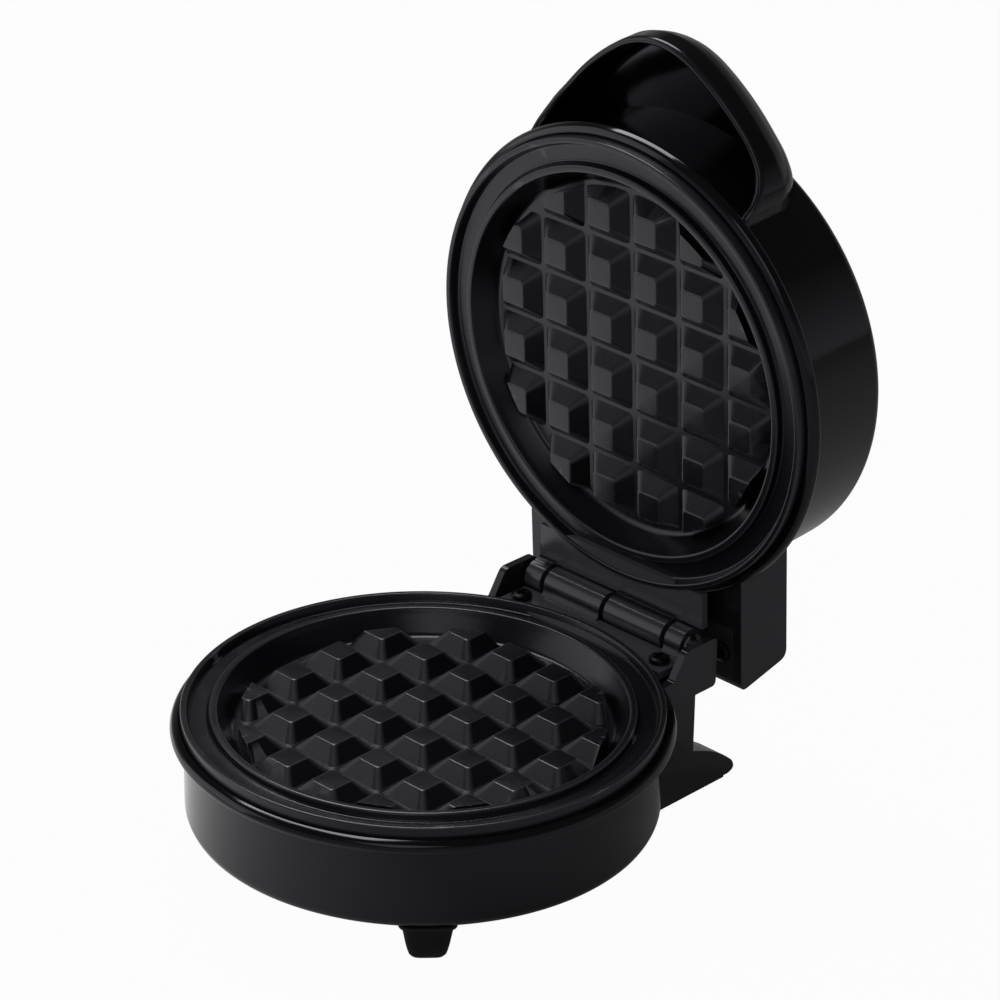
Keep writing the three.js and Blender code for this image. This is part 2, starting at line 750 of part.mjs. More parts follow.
function pinClip() {
  const start = knuckleShift + knuckleEnd + gap;
  const ring = rodAlongX(clipRadius, start, start + clipThickness, hingeY, hingeZ, smallSides);
  const bore = rodAlongX(pinRadius + gap, start - cutOver, start + cutOver, hingeY, hingeZ);
  const mouth = block(
    start - cutOver, start + cutOver,
    hingeY - clipMouth / 2, hingeY + clipMouth / 2,
    hingeZ, hingeZ + clipRadius + cutOver,
  );
  return cut(ring, bore, mouth);
}

place(base, "hinge_pin", "steel", hingePin());
place(base, "pin_clip", "steel", pinClip());

// Heating elements: sheathed tubes bent to an open ring, with both cold ends turned away from the plate
const heaterRadius = 38;
const heaterGapDegrees = 14;
const heaterStepDegrees = 20;
const heaterLeg = 6.5;
const heaterBend = 4.6;
const heaterSteps = 34;
const coldPinRadius = 1.3;
const coldPinLength = 3;

function heaterPath(side) {
  const z = (depth) => level(side, depth);
  const first = 90 + heaterGapDegrees;
  const sweep = 360 - 2 * heaterGapDegrees;
  const bendDegrees = THREE.MathUtils.radToDeg(heaterBend / heaterRadius);
  const steps = Math.round(sweep / heaterStepDegrees);
  const ring = Array.from({ length: steps + 1 }, (_, i) => {
    const degrees = first + bendDegrees + ((sweep - 2 * bendDegrees) * i) / steps;
    return [...polar(heaterRadius, degrees), z(heaterDepth)];
  });
  const ends = [first, first + sweep].map((degrees) => polar(heaterRadius, degrees));
  const leg = (at) => [
    [...at, z(heaterDepth + heaterLeg)],
    [...at, z(heaterDepth + heaterLeg / 2)],
    [...at, z(heaterDepth + heaterBend * 0.7)],
  ];
  return [...leg(ends[0]), ...ring, ...leg(ends[1]).reverse()];
}

function heaterEnds() {
  return [90 + heaterGapDegrees, 90 - heaterGapDegrees].map((degrees) => polar(heaterRadius, degrees));
}

function heatingElement(side) {
  const end = heaterDepth + heaterLeg;
  const pins = heaterEnds().map(([x, y]) =>
    upright(coldPinRadius, x, y, level(side, end - overlap), level(side, end + coldPinLength), screwSides),
  );
  return join(tube(heaterPath(side), heaterTube, heaterSteps, 3), pins);
}

place(base, "lower_heating_element", "heater", heatingElement(-1));
place(lid, "upper_heating_element", "heater", heatingElement(1));

// Heat shields: shallow sheet-metal pans behind each element
const shieldRadius = 43.6;
const shieldRim = 4.5;
const shieldBore = 18;
const shieldSides = 32;
const shieldReliefGap = 1.2;
const shieldRelief = heaterTube + shieldReliefGap;

function heatShield(side) {
  const z = (depth) => level(side, depth);
  const pan = turned([
    [shieldBore, z(shieldDepth)],
    [shieldRadius - sheetThickness, z(shieldDepth)],
    [shieldRadius - sheetThickness, z(shieldDepth - shieldRim)],
    [shieldRadius, z(shieldDepth - shieldRim)],
    [shieldRadius, z(shieldDepth + sheetThickness)],
    [shieldBore, z(shieldDepth + sheetThickness)],
    [shieldBore, z(shieldDepth)],
  ], shieldSides);
  const reliefs = heaterEnds().map(([x, y]) =>
    upright(shieldRelief, x, y, z(shieldDepth - cutOver), z(shieldDepth + cutOver)),
  );
  const holes = shieldScrewPlaces().map(([x, y]) =>
    upright(holeRadius, x, y, z(shieldDepth - cutOver), z(shieldDepth + cutOver)),
  );
  return cut(pan, reliefs, holes);
}

for (const [parent, side, half] of [[base, -1, "lower"], [lid, 1, "upper"]]) {
  place(parent, `${half}_heat_shield`, "sheet", heatShield(side));
  const headZ = level(side, shieldDepth + sheetThickness + gap);
  const screws = shieldScrewPlaces().map((at) => screw(at, headZ, screwBite, -side));
  placeEach(parent, `${half}_shield_screw`, "steel", screws);
}

// Thermostat: a disc switch pressed to the middle of the lower plate by a strap
const thermostatRadius = 8;
const bladeWidth = 4;
const bladeLength = 12;
const bladeThickness = 0.8;
const bladeDrop = 3;
const strapHalfWidth = 4;
const strapLap = 4;

function thermostat() {
  const top = level(-1, plateBack + gap);
  const can = upright(thermostatRadius, 0, 0, top - thermostatHeight, top, roundSides / 2);
  const blade = block(
    -bladeLength, bladeLength,
    -bladeWidth / 2, bladeWidth / 2,
    top - bladeDrop - bladeThickness, top - bladeDrop,
  );
  return join(can, blade);
}

function thermostatStrap() {
  const top = level(-1, strapDepth);
  const reach = strapPostAt + strapLap;
  const strap = block(-strapHalfWidth, strapHalfWidth, -reach, reach, top - sheetThickness, top);
  const holes = strapScrewPlaces().map(([x, y]) => upright(holeRadius, x, y, top - cutOver, top + cutOver));
  return cut(strap, holes);
}

const strapHeadZ = level(-1, strapDepth + sheetThickness + gap);
place(base, "thermostat", "ceramic", thermostat());
place(base, "thermostat_strap", "sheet", thermostatStrap());
const strapScrews = strapScrewPlaces().map((at) => screw(at, strapHeadZ, screwBite, 1));
placeEach(base, "thermostat_screw", "steel", strapScrews);

// Terminal block on the bottom cover, and the thermal fuse in its sleeve under the shield
const terminalHalfLength = 13;
const terminalHalfWidth = 6;
const terminalHeight = 6;
const terminalY = 22;
const terminalBore = 1.5;
const terminalPitch = 8;
const fuseRadius = 2.4;
const fuseLength = 16;
const fuseY = -22;

const terminalZ = baseFloorZ + coverThickness + gap;
const terminalWireZ = terminalZ + terminalHeight / 2;

function terminalBlock() {
  const low = terminalZ;
  const body = block(
    -terminalHalfLength, terminalHalfLength,
    terminalY - terminalHalfWidth, terminalY + terminalHalfWidth,
    low, low + terminalHeight,
  );
  const bores = [-1, 0, 1].map((i) =>
    rodAlongY(
      terminalBore, i * terminalPitch,
      terminalY - terminalHalfWidth - cutOver, terminalY + terminalHalfWidth + cutOver,
      terminalWireZ, screwSides,
    ),
  );
  return cut(body, bores);
}

const fuseZ = level(-1, shieldDepth + sheetThickness + gap + fuseRadius);
place(base, "terminal_block", "ceramic", terminalBlock());
place(base, "thermal_fuse", "sleeve", rodAlongX(fuseRadius, -fuseLength / 2, fuseLength / 2, fuseY, fuseZ));

// Internal leads of the base: stiff sleeved wires from block to fuse, thermostat and element
const wireRadius = 1.1;
const wireSteps = 14;
const wireLoop = 2.5;

function baseLeads() {
  const front = terminalY - terminalHalfWidth - gap;
  const back = terminalY + terminalHalfWidth + gap;
  const endZ = level(-1, heaterDepth + heaterLeg + coldPinLength + gap) - wireRadius;
  const [[leftX, pinY], [rightX]] = heaterEnds();
  const fuseEnd = fuseLength / 2 + gap;
  const bladeEnd = bladeLength + gap;
  const bladeZ = level(-1, plateBack + gap + bladeDrop + bladeThickness / 2);
  const side = terminalHalfLength + terminalPitch;
  return {
    lead_block_to_fuse: [
      [-terminalPitch, front, terminalWireZ],
      [-terminalPitch, front - terminalPitch, terminalWireZ],
      [-side, 0, fuseZ],
      [-side, fuseY / 2, fuseZ],
      [-fuseEnd - terminalPitch / 2, fuseY, fuseZ],
      [-fuseEnd, fuseY, fuseZ],
    ],
    lead_fuse_to_thermostat: [
      [fuseEnd, fuseY, fuseZ],
      [fuseEnd + wireLoop, fuseY, fuseZ],
      [bladeEnd, fuseY / 2, fuseZ],
      [bladeEnd + wireLoop / 2, fuseY / 4, (fuseZ + bladeZ) / 2],
      [bladeEnd + wireLoop, 0, bladeZ],
      [bladeEnd, 0, bladeZ],
    ],
    lead_block_to_element: [
      [-terminalPitch, back, terminalWireZ],
      [-terminalPitch, back + wireLoop, terminalWireZ],
      [leftX, pinY, endZ],
      [leftX, pinY + wireRadius, endZ],
    ],
    lead_element_to_block: [
      [0, back, terminalWireZ],
      [0, back + wireLoop, terminalWireZ],
      [rightX, pinY, endZ],
      [rightX, pinY + wireRadius, endZ],
    ],
  };
}

for (const [name, path] of Object.entries(baseLeads())) {
  place(base, name, "sleeve", tube(path, wireRadius, wireSteps, 3));
}

// The lead that feeds the lid: it rises into the hinge bay and goes on into the hinge block
const hingeLeadSteps = 24;

function hingeLeadBase() {
  const startY = terminalY + terminalHalfWidth + gap * 2;
  const bend = leadRadius * 2.2;
  const runZ = baseFloorZ + coverThickness + wall + gap * 3 + leadRadius;
  return tube([
    [terminalPitch, startY, terminalWireZ],
    [terminalPitch + bend / 2, startY + bend, terminalWireZ],
    [hingeLeadX - bend, (startY + hingeLeadRiseY) / 2, runZ],
    [hingeLeadX, hingeLeadRiseY - bend, runZ + bend],
    [hingeLeadX, hingeLeadRiseY, (runZ + bayFloorZ) / 2 + bend / 2],
    [hingeLeadX, hingeLeadRiseY, bayFloorZ + wall / 2],
    [hingeLeadX, hingeLeadRiseY + bend, hingeLeadZ],
    [hingeLeadX, bayRearY - wall, hingeLeadZ],
    [hingeLeadX, bayRearY, hingeLeadZ],
  ], leadRadius, hingeLeadSteps, 3);
}

place(base, "hinge_lead_base", "sleeve", hingeLeadBase());

// Lid housing: the same tub the other way up, with a scooped hood for a handle and a block at the hinge
const blockOverhang = 4.1;
const blockBehindHinge = 14.3;
const blockHalfWidth = bayHalfWidth + blockOverhang;
const blockRearY = hingeY + blockBehindHinge;
const blockTopDepth = 21.4;
const blockLean = 3.2;
const blockRound = 2.4;
const hingeCoverThickness = 3.2;
const blockDoorHalf = 30;
const blockDoorMargin = 4;
const hoodHalfWidth = 38.7;
const hoodBeforeWall = 11.8;
const hoodStartY = wallRadius - hoodBeforeWall;
const hoodReach = 36.4;
const hoodWall = 2.2;
const hoodSkirtDepth = 19.6;
const hoodLipDepth = 14.8;
const hoodRootDepth = 5.6;
const hoodFlare = 16;
const hoodOutlineShares = [
  [0.989, 0],
  [1, 0.114],
  [0.945, 0.269],
  [0.815, 0.451],
  [0.655, 0.634],
  [0.53, 0.75],
  [0.41, 0.845],
  [0.26, 0.94],
  [0.13, 0.985],
];
const hoodCrownShares = [
  [0, 1],
  [0.35, 0.96],
  [0.66, 0.895],
  [0.88, 0.81],
  [1, 0.68],
];
const topCoverMargin = 5.4;
const topCoverRadius = wallInner - topCoverMargin;
const topCoverThickness = 2;
const topCoverLedge = 3;

function hoodRing(scale, half, reach, z) {
  const right = hoodOutlineShares.map(([across, along]) => [half * across, reach * along]);
  const left = right.map(([x, v]) => [-x, v]).reverse();
  const ring = [...right, [0, reach], ...left];
  return ring.map(([x, v]) => [x * scale, -(hoodStartY + v * scale), z]).reverse();
}

function hoodBody(inset) {
  const [half, reach] = [hoodHalfWidth - inset, hoodReach - inset];
  const crown = lidDepth - hoodSkirtDepth;
  const start = inset > 0 ? 0 : hoodRootDepth / 2;
  return loft([
    hoodRing(1, half, reach, lidRimZ + start),
    ...hoodCrownShares.map(([up, scale]) =>
      hoodRing(scale, half, reach, lidRimZ + hoodSkirtDepth - inset + crown * up),
    ),
  ]);
}

// The lower edge of the hood, seen from the side: low at the wall and level across the front
function hoodUndercut() {
  const z = (depth) => lidRimZ + depth;
  const rise = hoodLipDepth - hoodRootDepth;
  const edgeShares = [[0, 0], [0.1, 0.12], [0.25, 0.38], [0.45, 0.66], [0.7, 0.88], [1, 1]];
  const edgeY = (along) => -(hoodStartY + hoodFlare * along);
  const edge = edgeShares.map(([along, up]) => [edgeY(along), z(hoodRootDepth + rise * up)]);
  const far = hoodStartY + hoodReach + cutOver;
  return sideView(
    [
      [-hoodStartY + cutOver, z(-cutOver)],
      [-hoodStartY + cutOver, z(hoodRootDepth)],
      ...edge,
      [-far, z(hoodLipDepth)],
      [-far, z(-cutOver)],
    ],
    -hoodHalfWidth - cutOver,
    hoodHalfWidth + cutOver,
  );
}

function hingeBlock(inset) {
  const hollow = inset > 0;
  const half = blockHalfWidth - inset;
  const rear = blockRearY - inset;
  const top = lidRimZ + blockTopDepth - inset;
  const front = hollow ? rimRadius + blockSet : wallInner / 2;
  const under = hollow ? blockUnderZ - cutOver : blockUnderZ;
  const rise = hollow ? blockUnderZ + hingeCoverThickness + gap * 2 : blockUnderZ + blockRound;
  return sideView(
    [
      [front, under],
      [hollow ? rear : rear - blockRound, under],
      [rear, rise],
      [rear - blockLean, top - blockRound],
      [rear - blockLean - blockRound, top],
      [front, top],
    ],
    -half,
    half,
  );
}

function hingeCoverPlaces() {
  const x = blockHalfWidth - wall - bossRadius + overlap;
  return [-1, 1].map((side) => [side * x, (rimRadius + blockRearY) / 2]);
}

function hingeLeadLidY() {
  const drop = hingeZ + (blockUnderZ - hingeZ) * Math.cos(openAngle) - hingeLeadZ;
  return hingeY + drop / Math.sin(openAngle);
}

function lidHousing() {
  const tub = turned(housingProfile(1, lidDepth));
  const tubSpace = upright(wallInner, 0, 0, lidRimZ, lidTopZ - wall, roundSides);
  const rimSpace = upright(rimOpening, 0, 0, lidRimZ - cutOver, lidRimZ + ledgeDrop, roundSides);
  const tubCore = upright(wallRadius - overlap, 0, 0, lidRimZ - cutOver, lidTopZ + cutOver, roundSides);
  const hood = cut(hoodBody(0), hoodBody(hoodWall), hoodUndercut(), tubCore);
  const doorLow = lidRimZ + rimBeadHeight + blockDoorMargin / 2;
  const doorHigh = lidRimZ + blockTopDepth - blockDoorMargin;
  const doorRearY = rimRadius + blockDoorMargin;
  const door = block(-blockDoorHalf, blockDoorHalf, wallInner / 2, doorRearY, doorLow, doorHigh);
  const shelf = lidTopZ - topCoverThickness - gap;
  const topSpace = upright(topCoverRadius + gap, 0, 0, shelf, lidTopZ + cutOver, roundSides);
  const mouthRadius = topCoverRadius - topCoverLedge;
  const topMouth = upright(mouthRadius, 0, 0, shelf - wall - cutOver, lidTopZ, roundSides);
  const shelfRing = cut(upright(wallInner + overlap, 0, 0, shelf - wall, shelf, roundSides), topMouth);
  const lugs = lugAngles.map((degrees) => housingLug(1, degrees));
  const coverFace = blockUnderZ + hingeCoverThickness + gap;
  const roof = lidRimZ + blockTopDepth - wall / 2;
  const bosses = hingeCoverPlaces().map(([x, y]) => upright(bossRadius, x, y, coverFace, roof));
  const holeFrom = coverFace - cutOver;
  const bossHoles = hingeCoverPlaces().map(([x, y]) => upright(holeRadius, x, y, holeFrom, roof - wall * 2));
  const outer = join(tub, hood, cut(hingeBlock(0), tubSpace, rimSpace));
  const shell = cut(outer, hingeBlock(wall), door, topSpace, topMouth);
  return cut(join(shell, shelfRing, lugs, bosses), bossHoles);
}

place(lid, "lid_housing", "housing", lidHousing());

// Top cover: a disc let into the top of the lid, with a hole for each lamp
const lampSpan = 15;
const lampY = -32;
const lensRadius = 2.6;
const lensFlange = 0.9;
const lensProud = 0.8;
const lensDepth = 3;

function lampPlaces() {
  return [-1, 1].map((side) => [side * lampSpan / 2, lampY]);
}

function topCover() {
  const under = lidTopZ - topCoverThickness;
  const disc = upright(topCoverRadius, 0, 0, under, lidTopZ, roundSides);
  const [low, high] = [under - cutOver, lidTopZ + cutOver];
  const holes = lampPlaces().map(([x, y]) => upright(lensRadius + gap, x, y, low, high));
  return cut(disc, holes);
}

place(lid, "lid_top_cover", "housing", topCover());

function lampLens([x, y]) {
  const top = lidTopZ + lensProud;
  const flangeZ = lidTopZ - topCoverThickness - gap;
  return turned([
    [0, flangeZ - lensDepth],
    [lensRadius, flangeZ - lensDepth],
    [lensRadius, flangeZ - lensFlange],
    [lensRadius + lensFlange, flangeZ - lensFlange],
    [lensRadius + lensFlange, flangeZ],
    [lensRadius, flangeZ],
    [lensRadius, lidTopZ],
    [lensRadius * 0.7, lidTopZ + lensProud * 0.7],
    [0, top],
  ], smallSides, x, y);
}

const [powerAt, readyAt] = lampPlaces();
place(lid, "power_lamp_lens", "redLens", lampLens(powerAt));
place(lid, "ready_lamp_lens", "greenLens", lampLens(readyAt));

// Lamp holder: a moulded bridge under the top cover that carries two neon lamps up to the lenses
const holderHalfWidth = 5;
const holderThickness = 2;
const holderLeg = 2.4;
const neonRadius = 1.9;
const neonLength = 5;

const holderTop = lidTopZ - topCoverThickness - gap * 2 - lensDepth - neonLength - gap;
const holderHalfLength = lampSpan / 2 + lensRadius + lensFlange + gap + holderLeg;

function lampHolder() {
  const legTop = lidTopZ - topCoverThickness - gap;
  const [y0, y1] = [lampY - holderHalfWidth, lampY + holderHalfWidth];
  return join(
    block(-holderHalfLength, holderHalfLength, y0, y1, holderTop - holderThickness, holderTop),
    [-1, 1].map((side) => {
      const [outer, inner] = [side * holderHalfLength, side * (holderHalfLength - holderLeg)];
      const [x0, x1] = [Math.min(outer, inner), Math.max(outer, inner)];
      return block(x0, x1, y0, y1, holderTop - holderThickness, legTop);
    }),
  );
}

const neonZ = holderTop + gap;
const neonTopZ = neonZ + neonLength;
const neonLamps = lampPlaces().map(([x, y]) => upright(neonRadius, x, y, neonZ, neonTopZ, screwSides));
place(lid, "lamp_holder", "moulding", lampHolder());
placeEach(lid, "neon_lamp", "ceramic", neonLamps);

// Hinge cover: the plate that closes the underside of the hinge block
const hingeCoverHeadZ = blockUnderZ + gap + screwHeadHeight;

function hingeCover() {
  const half = blockHalfWidth - wall - gap;
  const plate = block(
    -half, half,
    rimRadius + blockSet + gap, blockRearY - wall - gap,
    blockUnderZ, blockUnderZ + hingeCoverThickness,
  );
  const screwHoles = hingeCoverPlaces().map(([x, y]) =>
    join(
      upright(holeRadius, x, y, blockUnderZ - cutOver, blockUnderZ + cutOver * 2),
      upright(screwHeadRadius + gap, x, y, blockUnderZ - cutOver, hingeCoverHeadZ + gap),
    ),
  );
  const [low, high] = [blockUnderZ - cutOver, blockUnderZ + cutOver * 2];
  const leadHole = upright(leadRadius + gap, hingeLeadX, hingeLeadLidY(), low, high);
  return cut(plate, screwHoles, leadHole);
}

place(lid, "hinge_cover", "moulding", hingeCover());

const hingeCoverScrews = hingeCoverPlaces().map((at) => screw(at, hingeCoverHeadZ, screwBite, 1));
placeEach(lid, "hinge_cover_screw", "steel", hingeCoverScrews);

// Internal leads of the lid: from the hinge block to the element, and on to the lamps
function lidLeads() {
  const y = hingeLeadLidY();
  const [[leftX, pinY], [rightX]] = heaterEnds();
  const endZ = level(1, heaterDepth + heaterLeg + coldPinLength + gap) + wireRadius;
  const doorZ = lidRimZ + blockTopDepth / 2;
  const wireZ = neonZ + neonLength / 2;
  return {
    hinge_lead_lid: [
      [hingeLeadX, y, blockUnderZ],
      [hingeLeadX, y, blockUnderZ + blockDoorMargin],
      [hingeLeadX - leadRadius, y - blockDoorMargin, doorZ],
      [hingeLeadX - leadRadius * 2, wallInner - blockDoorMargin, doorZ + blockDoorMargin / 2],
      [rightX + blockDoorMargin, pinY + blockDoorMargin * 2, endZ - blockDoorMargin],
      [rightX, pinY + blockDoorMargin / 2, endZ],
      [rightX, pinY - wireRadius, endZ],
    ],
    lead_element_to_lamps: [
      [leftX, pinY + wireRadius, endZ],
      [leftX, pinY - wireLoop, endZ],
      [-holderHalfLength, 0, endZ],
      [-lampSpan / 2, lampY / 2, wireZ],
      [-lampSpan / 2, lampY + neonRadius + gap, wireZ],
    ],
  };
}

for (const [name, path] of Object.entries(lidLeads())) {
  place(lid, name, "sleeve", tube(path, wireRadius, wireSteps, 3));
}

// The lid turns about the pin, and the whole stands with the middle of its plan on the origin
const hinge = new THREE.Group();
lid.position.set(0, -hingeY, -hingeZ);
hinge.position.set(0, hingeY, hingeZ);
hinge.rotation.x = -openAngle;
hinge.add(lid);

const wafflemaker = new THREE.Group();
wafflemaker.add(base, hinge);
wafflemaker.updateMatrixWorld(true);
const extent = new THREE.Box3().setFromObject(wafflemaker, true);
wafflemaker.position.y = -(extent.min.y + extent.max.y) / 2;
wafflemaker.updateMatrixWorld(true);

export default wafflemaker;
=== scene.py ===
import bpy
import bmesh
import numpy as np
from mathutils import Matrix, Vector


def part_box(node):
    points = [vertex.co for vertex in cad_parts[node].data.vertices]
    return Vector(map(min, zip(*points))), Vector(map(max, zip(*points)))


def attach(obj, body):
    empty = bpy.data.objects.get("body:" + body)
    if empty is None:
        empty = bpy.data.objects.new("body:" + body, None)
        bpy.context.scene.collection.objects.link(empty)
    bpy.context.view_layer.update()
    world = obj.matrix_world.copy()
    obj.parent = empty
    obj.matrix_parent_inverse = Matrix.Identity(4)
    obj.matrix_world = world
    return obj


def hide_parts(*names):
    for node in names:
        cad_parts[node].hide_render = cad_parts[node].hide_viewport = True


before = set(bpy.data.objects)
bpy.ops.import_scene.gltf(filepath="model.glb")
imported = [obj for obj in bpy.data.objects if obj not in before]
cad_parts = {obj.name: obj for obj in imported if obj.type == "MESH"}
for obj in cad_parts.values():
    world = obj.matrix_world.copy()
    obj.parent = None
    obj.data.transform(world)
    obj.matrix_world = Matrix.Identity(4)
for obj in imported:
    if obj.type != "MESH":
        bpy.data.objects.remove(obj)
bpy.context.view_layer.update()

# VIEW, TABLE AND LIGHT
# The appliance stands on a white table and is seen from its right front, a little from above, through
# a long lens. A window at the upper left lights it, with weak softboxes at the left and in front. Black
# gloss shows what it mirrors, so for gloss the table and the room have a brightness of their own.
MM = 0.001
PLAN_SHIFT = -20.809      # the middle of the base lies this far in front of the origin, in mm
SENSOR_MM = 36
LENS_MM = 146.3
CAMERA_CLIP = 20          # this and what follows, up to the lamps, is in metres
TABLE_HALF = 4
# the painted pool of window light on the table, and the painted shade around it, which only gloss sees
POOL_MIDDLE = (-0.28, -0.12, 0.0)
POOL_RADIUS = 0.2
POOL_EDGE = 0.36
POOL_LEVEL = 0.85         # levels are shares of white
TABLE_LEVEL = 0.06
TABLE_GLOW = 0.97
ROOM_FILL = 0.22
HORIZON_LEVEL = 0.3
OVERHEAD_LEVEL = 0.05
LOW_SKY = 0.02            # heights of the directions where the horizon's level ends and the
HIGH_SKY = 0.45           # overhead level begins, on a sphere of radius 1
LAMP_AIM = [0, 0, 0.08]
NEARLY_Y = [0, 1, 0.001]  # a little off the axis, so that no lamp's direction can lie along it


def linear(code):
    """sRGB hex to linear light: c / 12.92 below 0.04045, otherwise ((c + 0.055) / 1.055) ** 2.4."""
    c = np.array([int(code[i:i + 2], 16) for i in (1, 3, 5)]) / 255
    light = np.where(c <= 0.04045, c / 12.92, ((c + 0.055) / 1.055) ** 2.4)
    return (*map(float, light), 1.0)


def node(tree, kind, inputs=None, **settings):
    """Adds a node, sets its properties, and sets or links each named input."""
    added = tree.nodes.new(kind)
    for key, value in settings.items():
        setattr(added, key, value)
    for key, value in (inputs or {}).items():
        if isinstance(value, bpy.types.NodeSocket):
            tree.links.new(value, added.inputs[key])
        else:
            added.inputs[key].default_value = value
    return added


scene = bpy.context.scene
scene.view_settings.view_transform = "Standard"

camera_data = bpy.data.cameras.new("camera")
camera_data.sensor_width = SENSOR_MM
camera_data.lens = LENS_MM
camera_data.clip_end = CAMERA_CLIP
camera = bpy.data.objects.new("camera", camera_data)
# columns: the camera's right, up and back
camera_axes = np.array([
    [0.714098, -0.318537, 0.623376],
    [0.699917, 0.307793, -0.644500],
    [0.013426, 0.896547, 0.442744],
])
camera_place = np.array([648.215, -643.093 + PLAN_SHIFT, 550.389]) * MM
camera_matrix = np.eye(4)
camera_matrix[:3, :3] = camera_axes
camera_matrix[:3, 3] = camera_place
camera.matrix_world = Matrix(camera_matrix.tolist())
scene.collection.objects.link(camera)
scene.camera = camera

# The table: pale laminate, white to the eye with a trace of the shadow. To gloss it shows a painted pool of
# window light at the left and painted shade, grey, elsewhere. It is clear from underneath, so that the feet
# can be seen
table_mesh = bpy.data.meshes.new("table")
table_corners = [(-TABLE_HALF, -TABLE_HALF, 0), (TABLE_HALF, -TABLE_HALF, 0),
                 (TABLE_HALF, TABLE_HALF, 0), (-TABLE_HALF, TABLE_HALF, 0)]
table_mesh.from_pydata(table_corners, [], [(0, 1, 2, 3)])
table = bpy.data.objects.new("table", table_mesh)
scene.collection.objects.link(table)
table_look = bpy.data.materials.new("white_laminate")
table_look.use_nodes = True
tree = table_look.node_tree
tree.nodes.clear()
ray = node(tree, "ShaderNodeLightPath")
matt = node(tree, "ShaderNodeBsdfDiffuse", {"Color": linear("#999999")})
glow = node(tree, "ShaderNodeEmission", {"Color": linear("#ffffff"), "Strength": 1.0})
where = node(tree, "ShaderNodeTexCoord")
from_pool = node(tree, "ShaderNodeVectorMath", {0: where.outputs["Object"], 1: POOL_MIDDLE},
                 operation="DISTANCE")
# painted pool of light: white glow near POOL_MIDDLE, fading to painted shade at TABLE_LEVEL
painted_pool = node(tree, "ShaderNodeMapRange", {
    "Value": from_pool.outputs["Value"], "From Min": POOL_RADIUS, "From Max": POOL_EDGE,
    "To Min": POOL_LEVEL, "To Max": TABLE_LEVEL,
})
mirrored = node(tree, "ShaderNodeMath", {0: ray.outputs["Is Glossy Ray"], 1: painted_pool.outputs[0]},
                operation="MULTIPLY")
seen = node(tree, "ShaderNodeMath", {
    0: ray.outputs["Is Camera Ray"], 1: TABLE_GLOW, 2: mirrored.outputs[0],
}, operation="MULTIPLY_ADD")
both = node(tree, "ShaderNodeMixShader", {
    "Fac": seen.outputs[0], 1: matt.outputs[0], 2: glow.outputs[0],
})
under = node(tree, "ShaderNodeNewGeometry")
clear = node(tree, "ShaderNodeBsdfTransparent")
one_way = node(tree, "ShaderNodeMixShader", {
    "Fac": under.outputs["Backfacing"], 1: both.outputs[0], 2: clear.outputs[0],
})
node(tree, "ShaderNodeOutputMaterial", {"Surface": one_way.outputs[0]})
table_mesh.materials.append(table_look)

# The room: white to the camera, grey at the horizon and dim overhead to gloss, and even to all else
world = bpy.data.worlds.new("studio")
scene.world = world
world.use_nodes = True
tree = world.node_tree
tree.nodes.clear()
ray = node(tree, "ShaderNodeLightPath")
way = node(tree, "ShaderNodeTexCoord")
height = node(tree, "ShaderNodeSeparateXYZ", {0: way.outputs["Generated"]})
fade = node(tree, "ShaderNodeMapRange", {
    "Value": height.outputs["Z"], "From Min": LOW_SKY, "From Max": HIGH_SKY,
    "To Min": HORIZON_LEVEL, "To Max": OVERHEAD_LEVEL,
})
gloss = node(tree, "ShaderNodeMath", {
    0: ray.outputs["Is Glossy Ray"], 1: ray.outputs["Is Transmission Ray"],
}, operation="MAXIMUM")
level = node(tree, "ShaderNodeMix", {
    "Factor": gloss.outputs[0], "A": ROOM_FILL, "B": fade.outputs[0],
}, data_type="FLOAT")
seen = node(tree, "ShaderNodeMix", {
    "Factor": ray.outputs["Is Camera Ray"], "A": level.outputs[0], "B": 1.0,
}, data_type="FLOAT")
sky = node(tree, "ShaderNodeBackground", {"Color": linear("#ffffff"), "Strength": seen.outputs[0]})
node(tree, "ShaderNodeOutputWorld", {"Surface": sky.outputs[0]})

# name, place and side in metres, and watts
for lamp_name, lamp_place, lamp_side, lamp_watts in (
    ("window", (-0.7, 0.35, 1.45), 0.8, 12.0),
    ("left_softbox", (-1.2, -0.9, 0.5), 1.3, 4.0),
    ("front_softbox", (0.8, -1.2, 1.1), 0.9, 2.0),
):
    lamp_data = bpy.data.lights.new(lamp_name, "AREA")
    lamp_data.size = lamp_side
    lamp_data.energy = lamp_watts
    lamp = bpy.data.objects.new(lamp_name, lamp_data)
    away = np.array(lamp_place) - np.array(LAMP_AIM)
    away = away / np.linalg.norm(away)
    across = np.cross(NEARLY_Y, away)
    across = across / np.linalg.norm(across)
    lamp_matrix = np.eye(4)
    lamp_matrix[:3, :3] = np.stack([across, np.cross(away, across), away], axis=1)
    lamp_matrix[:3, 3] = lamp_place
    lamp.matrix_world = Matrix(lamp_matrix.tolist())
    scene.collection.objects.link(lamp)

# BASE HOUSING
# The lower casing: one injection moulding in gloss black ABS with a rolled rim bead, a square column at
# the rear, a hinge bay between two cheeks and two heels. Here and below, sizes and outlines are in mm: an
# outline is (radius, height) where it is turned and (y, z) where it is pressed, with a radius per corner.
WALL_RADIUS = 61.8
WALL = 2.4
WALL_INNER = 59.4
RIM_RADIUS = 65.3
RIM_OPENING = 62.9
BASE_RIM = 38.2
BASE_FLOOR = 11.8
HINGE_Y = 72.05
HINGE_Z = 41.83
BAY_HALF = 34.1
BAY_FLOOR = 31.1
BAY_REAR = 74.95
CHEEK_TOP = 45.5
CHEEK = 2.2
COLUMN_REAR = 67.0
SHELL_FRONT = 50.5        # the cheeks and the bay begin inside the tub's wall
HEEL_WIDTH = 8.5
BAY_INSET = 0.3
HAIR = 0.03               # keeps the faces of shells that overlap from sharing a plane
MAX_SHARE = 0.48          # the most that a corner's curve may take of the shorter edge beside it
WELD = 1e-7               # metres
BEVEL_STEPS = 3
BEVEL_ANGLE = 40
